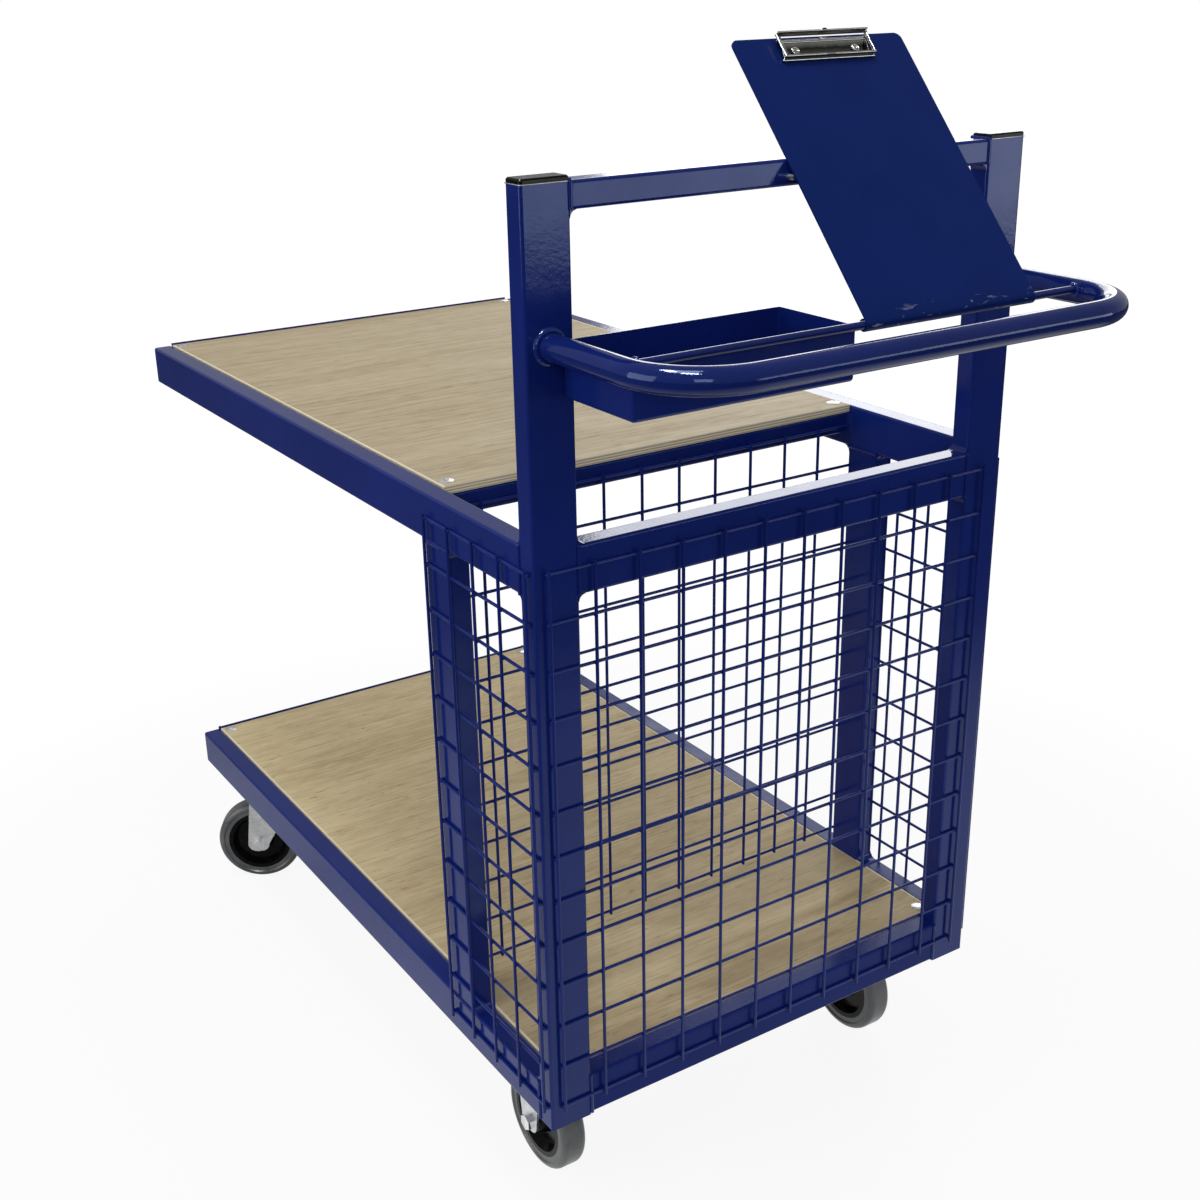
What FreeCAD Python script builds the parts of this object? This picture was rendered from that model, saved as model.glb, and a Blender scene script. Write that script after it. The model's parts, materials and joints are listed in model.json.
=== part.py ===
# Order picking trolley: box section frame with two plywood decks, a weldmesh bin, a tube push handle with a
# parts tray and a hinged clipboard, two fixed castors at the rear and two swivel castors at the front.
# Frame: millimetres, +X to the right, +Y forward, +Z up, origin on the floor under the middle of the part.
import FreeCAD
import Part
import Sketcher
import math
import os

SIZES = {
    # frame
    "frame_width": 600.0,
    "lower_length": 1035.0,
    "upper_length": 1050.0,
    "post_height": 981.0,
    "section_wide": 50.0,
    "section_narrow": 25.0,
    "section_wall": 2.0,
    "section_corner": 3.0,
    "deck_rise": 605.0,
    "bin_depth": 219.0,
    "rear_bar_lift": 2.0,
    "rear_rail_drop": 3.5,
    "upper_bearer_forward": 634.0,
    "cap_thickness": 4.5,
    "cap_bevel": 1.5,
    "cap_plug_depth": 14.0,
    "cap_fit": 0.2,
    # decks
    "board_thickness": 9.0,
    "board_proud": 1.5,
    "board_fit": 0.4,
    "front_lip": 3.0,
    "lip_stand": 2.0,
    "screw_head": 16.0,
    "screw_shank": 5.0,
    "screw_length": 18.0,
    "screw_fit": 0.05,
    "screw_side_inset": 12.0,
    "screw_end_inset": 17.0,
    # weldmesh
    "wire": 3.5,
    "mesh_pitch_across": 50.8,
    "mesh_pitch_up": 50.2,
    "mesh_bottom": 28.2,
    "mesh_tip": 5.0,
    "mesh_side_tip": 2.5,
    "mesh_margin": 13.0,
    "rear_mesh_shift": -6.8,
    "side_mesh_start": 7.0,
    "inner_mesh_margin": 40.0,
    "inner_mesh_bottom": 79.0,
    "inner_mesh_shift": -6.4,
    # push handle, rod and tray
    "handle_reach": 196.0,
    "handle_bend": 78.0,
    "handle_tube": 25.4,
    "handle_wall": 2.0,
    "handle_rise": 841.0,
    "rod": 8.0,
    "rod_back": 114.0,
    "rod_lift": 4.0,
    "tray_gap": 4.0,
    "tray_height": 52.0,
    "tray_wall": 1.5,
    "tray_corner": 4.0,
    # clipboard
    "plate_to_post": 48.4,
    "plate_width": 215.0,
    "plate_length": 311.5,
    "plate_sheet": 2.0,
    "plate_corner": 8.0,
    "eye_fit": 0.1,
    "eye_turn": 285.0,
    "rest_gap": 0.3,
    "stud": 5.0,
    "stud_drop": 16.0,
    "stud_inset": 1.5,
    # clip
    "clip_width": 116.0,
    "clip_sheet": 0.9,
    "clip_top_margin": 1.0,
    "clip_pin": 2.0,
    "clip_pin_drop": 6.0,
    "clip_pin_height": 4.2,
    "clip_pin_fit": 0.05,
    "clip_base_height": 22.0,
    "clip_base_dish": 1.6,
    "clip_ear_inset": 7.0,
    "clip_ear_long": 3.8,
    "clip_ear_clear": 0.2,
    "rivet": 4.0,
    "rivet_head": 9.0,
    "rivet_head_height": 1.2,
    "rivet_spread": 76.0,
    "rivet_rise": 9.0,
    "jaw_reach": 22.0,
    "jaw_bead": 2.6,
    "jaw_arm": 5.0,
    "jaw_roof": 7.8,
    "jaw_strip": 3.0,
    "jaw_back_rise": 3.0,
    "jaw_grip_gap": 0.3,
    "jaw_tab": 12.0,
    "spring_wire": 0.9,
    "spring_inside": 2.8,
    "spring_turn_gap": 0.5,
    "spring_turns": 5,
    # castors
    "castor_height": 174.5,
    "castor_inset": 128.0,
    "castor_side_inset": 68.0,
    "castor_trail": 38.0,
    "castor_turn": 59.0,
    "castor_plate_long": 105.0,
    "castor_plate_wide": 80.0,
    "castor_plate_sheet": 3.5,
    "castor_plate_corner": 8.0,
    "castor_bolts_long": 80.0,
    "castor_bolts_wide": 60.0,
    "bolt": 8.0,
    "bolt_head_across": 13.0,
    "bolt_head_height": 5.3,
    "bolt_fit": 0.25,
    "nut_height": 6.5,
    "wheel": 125.0,
    "tread_width": 32.0,
    "tread_shoulder": 7.5,
    "tyre_depth": 15.5,
    "tyre_step": 1.6,
    "tyre_step_height": 6.0,
    "hub_bore_fit": 0.05,
    "hub_side_gap": 0.5,
    "hub_boss": 30.0,
    "hub_web": 8.0,
    "hub_rim": 6.0,
    "hub_rim_inset": 1.5,
    "bush": 14.0,
    "axle": 10.0,
    "axle_fit": 0.05,
    "axle_head_across": 17.0,
    "axle_head_height": 6.0,
    "fork_gap": 43.0,
    "fork_sheet": 3.0,
    "fork_bend": 3.0,
    "fork_leg_half": 16.0,
    "fork_leg_corner": 12.0,
    "fork_shoulder": 30.0,
    "fork_heel_taper": 8.0,
    "fork_crown_half": 29.0,
    "crown_disc": 60.0,
    "race_boss": 4.0,
    "race_lip": 6.5,
    "race_lip_sheet": 2.0,
    "race_gap": 0.3,
    "race_ball": 6.0,
    "race_pitch": 44.0,
    "race_balls": 10,
    "race_groove_share": 0.25,
    "king_pin": 12.0,
    "king_pin_fit": 0.05,
    "king_pin_head": 24.0,
    "king_pin_head_height": 4.0,
}

DEGREES_IN_TURN = 360
HALF_SHARE = 0.5
NEAR_SHARE = 0.99
TOUCH_SHARE = 0.01
CLOSE_SHARE = 0.001
RIVET_BACK_SHARE = 0.8
HUB_SLANT_SHARE = 1 / 3
HEXAGON = 6
UP = FreeCAD.Vector(0, 0, 1)
ALONG_X = FreeCAD.Vector(1, 0, 0)

doc = FreeCAD.newDocument("OrderPickingTrolley")
sheet = doc.addObject("Spreadsheet::Sheet", "Sizes")
for row, (name, number) in enumerate(SIZES.items(), start=1):
    sheet.set(f"A{row}", name)
    sheet.set(f"B{row}", str(number))
    sheet.setAlias(f"B{row}", name)
doc.recompute()


class Measure:
    """A number together with the sheet formula that gives it, so that each size is worked out once."""

    def __init__(self, value, formula):
        self.value = value
        self.formula = formula

    def __add__(self, other):
        other = measure(other)
        return Measure(self.value + other.value, f"({self.formula} + {other.formula})")

    def __sub__(self, other):
        other = measure(other)
        return Measure(self.value - other.value, f"({self.formula} - {other.formula})")

    def __mul__(self, other):
        other = measure(other)
        return Measure(self.value * other.value, f"({self.formula} * {other.formula})")

    def __truediv__(self, other):
        other = measure(other)
        return Measure(self.value / other.value, f"({self.formula} / {other.formula})")

    def __rsub__(self, other):
        return measure(other) - self

    def __neg__(self):
        return Measure(-self.value, f"(-1 * {self.formula})")

    __radd__ = __add__
    __rmul__ = __mul__


def measure(thing):
    """A plain number as a Measure; a Measure as it is."""
    if isinstance(thing, Measure):
        return thing
    return Measure(float(thing), repr(float(thing)))


def size(alias):
    """The sheet's cell of that name."""
    return Measure(float(sheet.get(alias)), f"Sizes.{alias}")


def sine(angle):
    return Measure(math.sin(math.radians(angle.value)), f"sin({angle.formula})")


def cosine(angle):
    return Measure(math.cos(math.radians(angle.value)), f"cos({angle.formula})")


def arc_sine(ratio):
    return Measure(math.degrees(math.asin(ratio.value)), f"(asin({ratio.formula}) / 1 deg)")


def arc_tangent(rise, run):
    angle = math.degrees(math.atan2(rise.value, run.value))
    return Measure(angle, f"(atan2({rise.formula}; {run.formula}) / 1 deg)")


def square_root(area):
    return Measure(math.sqrt(area.value), f"sqrt({area.formula})")


def whole_count(span, pitch):
    """How many wires fit in a span, one at each end of every whole pitch."""
    return Measure(math.floor(span.value / pitch.value), f"floor({span.formula} / {pitch.formula})") + 1


class Size:
    """Every cell of the sheet as an attribute."""


for name in SIZES:
    setattr(Size, name, size(name))

ZERO = measure(0)

# places that many pieces share
rear = (Size.handle_reach + Size.handle_tube / 2 - Size.upper_length) / 2
half_width = Size.frame_width / 2
inner_half = half_width - Size.section_narrow
post_inner = half_width - Size.section_wide
board_sunk = Size.board_thickness - Size.board_proud
foot = Size.castor_height - (Size.section_wide - board_sunk - Size.section_narrow)
bearer_middle = Size.castor_height + Size.section_narrow / 2
lower_top = foot + Size.section_wide
upper_rail_foot = foot + Size.deck_rise
upper_top = upper_rail_foot + Size.section_wide
upper_bar_middle = upper_top - board_sunk - Size.section_narrow / 2
post_top = foot + Size.post_height
handle_up = foot + Size.handle_rise
arm_across = half_width - Size.section_narrow
rod_up = handle_up + Size.rod_lift
rod_forward = rear - Size.rod_back
castor_across = half_width - Size.castor_side_inset
rear_castor_forward = rear + Size.castor_inset
front_castor_forward = rear + Size.lower_length - Size.castor_inset
plate_left = post_inner - Size.plate_to_post - Size.plate_width
tray_left = Size.handle_tube / 2 - arm_across

SIDES = {"left": -1, "right": 1}

nodes = []


def keep(piece, label):
    """Names a finished sub-part, which is written to a file of that name."""
    piece.Label = label
    nodes.append(piece)
    return piece


def place(piece, across=ZERO, forward=ZERO, up=ZERO, axis=UP, turn=None):
    """Binds a piece's place, and its turn about one axis, to the sheet."""
    if turn is not None:
        piece.Placement = FreeCAD.Placement(FreeCAD.Vector(), FreeCAD.Rotation(axis, turn.value))
        piece.setExpression("Placement.Rotation.Angle", turn.formula)
    for letter, distance in zip("xyz", (across, forward, up)):
        piece.setExpression(f"Placement.Base.{letter}", measure(distance).formula)
    return piece


def new_body(name):
    body = doc.addObject("PartDesign::Body", name)
    body.AllowCompound = True
    return body


def sketch_on(body, role, lift=None):
    """An empty sketch on one of the body's own planes, lifted along the plane's normal."""
    sketch = body.newObject("Sketcher::SketchObject", f"{body.Name}_sketch")
    support = next(plane for plane in body.Origin.OriginFeatures if plane.Role == role)
    sketch.AttachmentSupport = (support, [""])
    sketch.MapMode = "FlatFace"
    if lift is not None:
        sketch.setExpression("AttachmentOffset.Base.z", measure(lift).formula)
    return sketch


def bind(sketch, constraint, amount):
    """Adds a constraint whose datum follows the sheet."""
    index = sketch.addConstraint(constraint)
    sketch.setExpression(f"Constraints[{index}]", amount.formula)


def pin_point(sketch, geometry, position, across, up):
    """Ties a point's two distances from the sketch's origin to the sheet."""
    across_pin = Sketcher.Constraint("DistanceX", -1, 1, geometry, position, across.value)
    up_pin = Sketcher.Constraint("DistanceY", -1, 1, geometry, position, up.value)
    bind(sketch, across_pin, across)
    bind(sketch, up_pin, up)


def circle(sketch, across, up, diameter):
    """A circle in a sketch, with its middle and its diameter tied to the sheet."""
    across = measure(across)
    up = measure(up)
    middle = FreeCAD.Vector(across.value, up.value, 0)
    index = sketch.addGeometry(Part.Circle(middle, UP, diameter.value / 2))
    pin_point(sketch, index, 3, across, up)
    bind(sketch, Sketcher.Constraint("Diameter", index, diameter.value), diameter)


def arc_between(start, end, radius):
    """A round stretch from start to end, turning left for a positive radius and right for a negative one."""
    chord = end - start
    reach = math.sqrt(max(radius * radius - chord.Length * chord.Length / 4, 0))
    left = FreeCAD.Vector(-chord.y, chord.x, 0).normalize()
    middle = start + chord * HALF_SHARE + left * math.copysign(reach, radius)
    if radius < 0:
        start, end = end, start
    first = math.atan2(start.y - middle.y, start.x - middle.x)
    last = math.atan2(end.y - middle.y, end.x - middle.x)
    if last < first:
        last += 2 * math.pi
    return Part.ArcOfCircle(Part.Circle(middle, UP, abs(radius)), first, last)


def outline(sketch, corners, radii=None, closed=True):
    """Lines, and arcs where radii names a stretch, through corners given as pairs of measures."""
    radii = radii or {}
    corners = [(measure(across), measure(up)) for across, up in corners]
    points = [FreeCAD.Vector(across.value, up.value, 0) for across, up in corners]
    count = len(corners) if closed else len(corners) - 1
    ends = []
    for number in range(count):
        start = points[number]
        end = points[(number + 1) % len(points)]
        radius = radii.get(number)
        if radius is None:
            ends.append((sketch.addGeometry(Part.LineSegment(start, end)), 1, 2))
        else:
            index = sketch.addGeometry(arc_between(start, end, radius.value))
            ends.append((index, 1, 2) if radius.value > 0 else (index, 2, 1))
    for number in range(count if closed else count - 1):
        this = ends[number]
        following = ends[(number + 1) % count]
        sketch.addConstraint(Sketcher.Constraint("Coincident", this[0], this[2], following[0], following[1]))
    for (across, up), (index, first, last) in zip(corners, ends):
        pin_point(sketch, index, first, across, up)
    if not closed:
        pin_point(sketch, ends[-1][0], ends[-1][2], *corners[-1])
    for number, radius in radii.items():
        index = ends[number][0]
        span = radius if radius.value > 0 else -radius
        bind(sketch, Sketcher.Constraint("Radius", index, span.value), span)


def rectangle(sketch, across, up, low_across=None, low_up=None):
    """A rectangle about the sketch's origin, or from its lower left corner where that is given."""
    left = -across / 2 if low_across is None else measure(low_across)
    low = -up / 2 if low_up is None else measure(low_up)
    outline(sketch, [(left, low), (left + across, low), (left + across, low + up), (left, low + up)])


def pad(body, sketch, length, symmetric=False):
    """Grows a sketch along its axis: +X, +Y or +Z, or both ways from its plane."""
    feature = body.newObject("PartDesign::Pad", f"{body.Name}_pad")
    feature.Profile = sketch
    feature.SideType = "Symmetric" if symmetric else "One side"
    feature.Reversed = sketch.AttachmentSupport[0][0].Role == "XZ_Plane"
    feature.setExpression("Length", measure(length).formula)
    doc.recompute()
    return feature


def pocket(body, sketch, length=None, symmetric=False, backward=False):
    """Cuts a sketch along its axis, right through where no length is given, and makes sure that it cut."""
    before = body.Shape.Volume
    feature = body.newObject("PartDesign::Pocket", f"{body.Name}_pocket")
    feature.Profile = sketch
    feature.SideType = "Symmetric" if symmetric else "One side"
    along = sketch.AttachmentSupport[0][0].Role == "XZ_Plane"
    feature.Reversed = along if backward else not along
    if length is None:
        feature.Type = "ThroughAll"
    else:
        feature.setExpression("Length", measure(length).formula)
    doc.recompute()
    if not body.Shape.Volume < before:
        raise RuntimeError(f"{body.Label}: the pocket cuts nothing")
    return feature


def revolve(body, sketch, axis="H_Axis"):
    """Turns a half section once round the sketch's own axis."""
    feature = body.newObject("PartDesign::Revolution", f"{body.Name}_turned")
    feature.Profile = sketch
    feature.ReferenceAxis = (sketch, [axis])
    feature.Angle = DEGREES_IN_TURN
    doc.recompute()
    return feature


def edges_where(shape, test):
    """Names of the edges whose middle point and direction pass a test."""
    names = []
    for number, edge in enumerate(shape.Edges, start=1):
        middle = edge.valueAt((edge.FirstParameter + edge.LastParameter) / 2)
        direction = edge.tangentAt((edge.FirstParameter + edge.LastParameter) / 2)
        straight = edge.Curve.TypeId == "Part::GeomLine"
        if test(middle, direction, straight):
            names.append(f"Edge{number}")
    return names


def round_off(body, names, radius, kind="Fillet"):
    """Fillets or chamfers the named edges of the body's last feature."""
    base = body.Tip
    feature = body.newObject(f"PartDesign::{kind}", f"{body.Name}_{kind.lower()}")
    feature.Base = (base, names)
    feature.setExpression("Radius" if kind == "Fillet" else "Size", measure(radius).formula)
    doc.recompute()
    return feature


def round_long_edges(body, axis, radius):
    """Fillets the sharp straight edges that run along an axis, all but those that are round already."""
    names = edges_where(body.Shape, lambda middle, run, straight: straight and abs(run.dot(axis)) > NEAR_SHARE)
    return round_off(body, names, radius)


AXIS_OF = {"XY_Plane": UP, "XZ_Plane": FreeCAD.Vector(0, 1, 0), "YZ_Plane": ALONG_X}


def box_section(name, role, across, up, length, closed_end=False):
    """A length of box section with rounded corners, along the axis of its plane, open or with a welded end."""
    body = new_body(name)
    outer = sketch_on(body, role)
    rectangle(outer, across, up)
    pad(body, outer, length)
    round_long_edges(body, AXIS_OF[role], Size.section_corner)
    inner = sketch_on(body, role)
    wall = Size.section_wall
    rectangle(inner, across - wall * 2, up - wall * 2)
    pocket(body, inner, length - wall if closed_end else None)
    return body


def drill(body, role, lift, places, diameter, depth=None, backward=True):
    """Round holes at the places of a sketch lifted to the face that is drilled."""
    sketch = sketch_on(body, role, lift)
    for across, up in places:
        circle(sketch, across, up, diameter)
    return pocket(body, sketch, depth, backward=backward)


def group(label, pieces):
    """Like pieces as one node of separate solids."""
    compound = doc.addObject("Part::Compound", f"{label}_group")
    compound.Links = pieces
    return keep(compound, label)


def cylinder(name, diameter, height, across=ZERO, forward=ZERO, up=ZERO, axis=UP, turn=None):
    piece = doc.addObject("Part::Cylinder", name)
    piece.setExpression("Radius", (diameter / 2).formula)
    piece.setExpression("Height", measure(height).formula)
    return place(piece, across, forward, up, axis, turn)


def hexagon(name, across_flats, height, across=ZERO, forward=ZERO, up=ZERO, axis=UP, turn=None):
    piece = doc.addObject("Part::Prism", name)
    piece.Polygon = HEXAGON
    half_flat_angle = measure(DEGREES_IN_TURN / HEXAGON / 2)
    piece.setExpression("Circumradius", (across_flats / 2 / cosine(half_flat_angle)).formula)
    piece.setExpression("Height", measure(height).formula)
    return place(piece, across, forward, up, axis, turn)


def joined(name, first, second):
    piece = doc.addObject("Part::Fuse", name)
    piece.Base = first
    piece.Tool = second
    return piece


def less(name, first, second):
    piece = doc.addObject("Part::Cut", name)
    piece.Base = first
    piece.Tool = second
    return piece


# deck screw places: across, forward
screw_across = inner_half - Size.screw_side_inset
ledge_forward = rear + Size.section_narrow
lower_screw_rows = {
    "ledge": ledge_forward + Size.screw_end_inset,
    "front": rear + Size.lower_length - Size.screw_end_inset,
}
upper_screw_rows = {
    "cross": rear + Size.bin_depth + Size.screw_end_inset,
    "front": rear + Size.upper_length - Size.screw_end_inset,
}
screw_hole = Size.screw_shank + Size.screw_fit * 2
screw_head_depth = (Size.screw_head - Size.screw_shank) / 2


def cross_bar(label, rear_face, middle_up, screw_row=None):
    """A square bar between the side rails, drilled in its upper wall for two deck screws."""
    thick = Size.section_narrow
    bar = box_section(label, "YZ_Plane", thick, thick, inner_half * 2)
    if screw_row is not None:
        middle = rear_face + thick / 2
        sketch = sketch_on(bar, "XY_Plane", thick / 2)
        for sign in SIDES.values():
            circle(sketch, inner_half + screw_across * sign, screw_row - middle, screw_hole)
        pocket(bar, sketch, Size.section_wall, backward=True)
    place(bar, -inner_half, rear_face + thick / 2, middle_up)
    return bar


def front_lip(bar):
    """Grows the strip on a front bar that covers the deck's front edge and stands a little above it."""
    thick = Size.section_narrow
    strip = sketch_on(bar, "YZ_Plane")
    height = thick / 2 + Size.board_thickness + Size.lip_stand
    rectangle(strip, Size.front_lip, height, thick / 2 - Size.front_lip, ZERO)
    pad(bar, strip, inner_half * 2)
    return bar


def lower_frame():
    """Side rails, rear bar, front bar, ledge bar and the bearers that carry the castors."""
    wide, narrow = Size.section_wide, Size.section_narrow
    for side, sign in SIDES.items():
        rail = box_section(f"lower_{side}_rail", "XZ_Plane", narrow, wide, Size.lower_length - narrow, True)
        place(rail, (half_width - narrow / 2) * sign, rear + narrow, foot + wide / 2)
        keep(rail, f"lower_{side}_rail")
    bar = box_section("lower_rear_bar", "YZ_Plane", narrow, wide, post_inner * 2)
    place(bar, -post_inner, rear + narrow / 2, foot + Size.rear_bar_lift + wide / 2)
    keep(bar, "lower_rear_bar")
    front_face = rear + Size.lower_length - narrow
    front = cross_bar("lower_front_bar", front_face, bearer_middle, lower_screw_rows["front"])
    keep(front_lip(front), "lower_front_bar")
    ledge = cross_bar("lower_ledge_bar", ledge_forward, bearer_middle, lower_screw_rows["ledge"])
    keep(ledge, "lower_ledge_bar")
    bearers = []
    for end, castor_forward in (("rear", rear_castor_forward), ("front", front_castor_forward)):
        for which, sign in (("behind", -1), ("ahead", 1)):
            rear_face = castor_forward + Size.castor_bolts_long / 2 * sign - narrow / 2
            bearer = cross_bar(f"{end}_bearer_{which}", rear_face, bearer_middle)
            sketch = sketch_on(bearer, "XY_Plane", -narrow / 2)
            for side_sign in SIDES.values():
                for bolt_sign in SIDES.values():
                    along = inner_half + castor_across * side_sign + Size.castor_bolts_wide / 2 * bolt_sign
                    circle(sketch, along, 0, Size.bolt + Size.bolt_fit * 2)
            pocket(bearer, sketch, Size.section_wall)
            bearers.append(bearer)
    group("castor_bearers", bearers)


def uprights():
    """Tall rear posts with their plastic caps, and the shorter middle posts."""
    wide, narrow, wall = Size.section_wide, Size.section_narrow, Size.section_wall
    caps = []
    for side, sign in SIDES.items():
        post = box_section(f"rear_{side}_post", "XY_Plane", wide, narrow, Size.post_height)
        place(post, (half_width - wide / 2) * sign, rear + narrow / 2, foot)
        keep(post, f"rear_{side}_post")
        middle_post = box_section(f"middle_{side}_post", "XY_Plane", narrow, wide, Size.deck_rise - wide)
        place(middle_post, (half_width - narrow / 2) * sign, rear + Size.bin_depth - wide / 2, lower_top)
        keep(middle_post, f"middle_{side}_post")
        cap = new_body(f"{side}_cap")
        lid = sketch_on(cap, "XY_Plane")
        rectangle(lid, wide, narrow)
        pad(cap, lid, Size.cap_thickness)
        round_long_edges(cap, UP, Size.section_corner)
        rim = edges_where(cap.Shape, lambda middle, run, straight: middle.z > Size.cap_thickness.value * NEAR_SHARE)
        round_off(cap, rim, Size.cap_bevel, "Chamfer")
        plug = sketch_on(cap, "XY_Plane", -Size.cap_plug_depth)
        margin = (wall + Size.cap_fit) * 2
        rectangle(plug, wide - margin, narrow - margin)
        pad(cap, plug, Size.cap_plug_depth)
        place(cap, (half_width - wide / 2) * sign, rear + narrow / 2, post_top)
        caps.append(cap)
    group("post_caps", caps)


def upper_frame():
    """Upper side rails, the bars under the upper deck, the rear rail and the top rail."""
    wide, narrow = Size.section_wide, Size.section_narrow
    for side, sign in SIDES.items():
        rail = box_section(f"upper_{side}_rail", "XZ_Plane", narrow, wide, Size.upper_length - narrow, True)
        place(rail, (half_width - narrow / 2) * sign, rear + narrow, upper_rail_foot + wide / 2)
        keep(rail, f"upper_{side}_rail")
    front_face = rear + Size.upper_length - narrow
    front = cross_bar("upper_front_bar", front_face, upper_bar_middle, upper_screw_rows["front"])
    keep(front_lip(front), "upper_front_bar")
    cross = cross_bar("upper_cross_bar", rear + Size.bin_depth, upper_bar_middle, upper_screw_rows["cross"])
    keep(cross, "upper_cross_bar")
    keep(cross_bar("upper_bearer", rear + Size.upper_bearer_forward, upper_bar_middle), "upper_bearer")
    rear_rail = box_section("rear_rail", "YZ_Plane", narrow, wide, post_inner * 2)
    place(rear_rail, -post_inner, rear + narrow / 2, upper_top - Size.rear_rail_drop - wide / 2)
    keep(rear_rail, "rear_rail")
    top_rail = box_section("top_rail", "YZ_Plane", narrow, narrow, post_inner * 2)
    stud_hole = Size.stud + Size.screw_fit * 2
    sketch = sketch_on(top_rail, "XZ_Plane", narrow / 2)
    for stud_across in stud_places():
        circle(sketch, post_inner + stud_across, narrow / 2 - Size.stud_drop, stud_hole)
    pocket(top_rail, sketch, Size.section_wall)
    place(top_rail, -post_inner, rear + narrow / 2, post_top - narrow / 2)
    keep(top_rail, "top_rail")


def stud_places():
    """Where the two stop studs stand, across: a little inside the plate's edges."""
    right_edge = plate_left + Size.plate_width
    return plate_left + Size.stud_inset, right_edge - Size.stud_inset


def deck_board(label, rear_edge, front_edge, top, screw_rows):
    """A plywood deck with countersunk holes for its four screws."""
    board = new_body(label)
    side = inner_half - Size.board_fit
    sheet_sketch = sketch_on(board, "XY_Plane")
    rectangle(sheet_sketch, side * 2, front_edge - rear_edge, -side, rear_edge)
    pad(board, sheet_sketch, Size.board_thickness)
    places = [(screw_across * sign, row) for row in screw_rows.values() for sign in SIDES.values()]
    drill(board, "XY_Plane", Size.board_thickness, places, screw_hole)
    rims = edges_where(board.Shape, lambda middle, run, straight:
                       not straight and middle.z > Size.board_thickness.value * NEAR_SHARE)
    round_off(board, rims, screw_head_depth, "Chamfer")
    place(board, up=top - board_sunk)
    return keep(board, label)


def deck_screw(name, across, forward, top):
    """A countersunk screw, its head level with the deck."""
    screw = new_body(name)
    half = sketch_on(screw, "XZ_Plane")
    shank = Size.screw_shank / 2
    head = Size.screw_head / 2
    fit = Size.screw_fit * 2
    outline(half, [
        (ZERO, -Size.screw_length), (shank, -Size.screw_length), (shank, -screw_head_depth),
        (head - fit, -fit), (head - fit, -fit / 2), (ZERO, -fit / 2),
    ])
    revolve(screw, half, "V_Axis")
    return place(screw, across, forward, top + Size.board_proud)


def decks():
    """The two plywood boards and their screws."""
    fit = Size.board_fit
    lower_rear = rear + Size.section_narrow + fit
    lower_front = rear + Size.lower_length - Size.front_lip - fit
    deck_board("lower_deck_board", lower_rear, lower_front, lower_top, lower_screw_rows)
    upper_rear = rear + Size.bin_depth
    upper_front = rear + Size.upper_length - Size.front_lip - fit
    deck_board("upper_deck_board", upper_rear, upper_front, upper_top, upper_screw_rows)
    screws = []
    for deck, top, rows in (("lower", lower_top, lower_screw_rows), ("upper", upper_top, upper_screw_rows)):
        for row_name, forward in rows.items():
            for side, sign in SIDES.items():
                name = f"{deck}_{row_name}_{side}_screw"
                screws.append(deck_screw(name, screw_across * sign, forward, top))
    group("deck_screws", screws)


def wires(name, role, count, pitch, length, first, step_axis):
    """Parallel wires: one drawn as a circle grown along its length, then patterned sideways."""
    body = new_body(name)
    section = sketch_on(body, role)
    circle(section, *first, Size.wire)
    one = pad(body, section, length)
    pattern = body.newObject("PartDesign::LinearPattern", f"{name}_pattern")
    pattern.Originals = [one]
    pattern.Direction = (section, [step_axis])
    pattern.setExpression("Length", (pitch * (count - 1)).formula)
    pattern.setExpression("Occurrences", count.formula)
    body.Tip = pattern
    doc.recompute()
    return body


def mesh_panel(label, columns, rows, cross_length, low_tip):
    """A weldmesh panel in its own frame: cross wires on the frame, uprights outside them, first wires at zero."""
    along_x = label in ("rear_mesh", "inner_mesh")
    pitch_up, wire = Size.mesh_pitch_up, Size.wire
    outside = wire if label == "right_mesh" else -wire
    first = (ZERO, outside) if along_x else (outside, ZERO)
    upright_length = pitch_up * (rows - 1) + Size.mesh_tip + low_tip
    upright = wires(f"{label}_uprights", "XY_Plane", columns, Size.mesh_pitch_across, upright_length, first,
                    "H_Axis" if along_x else "V_Axis")
    cross_role = "YZ_Plane" if along_x else "XZ_Plane"
    cross = wires(f"{label}_cross_wires", cross_role, rows, pitch_up, cross_length, (ZERO, ZERO), "V_Axis")
    return upright, cross


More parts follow.
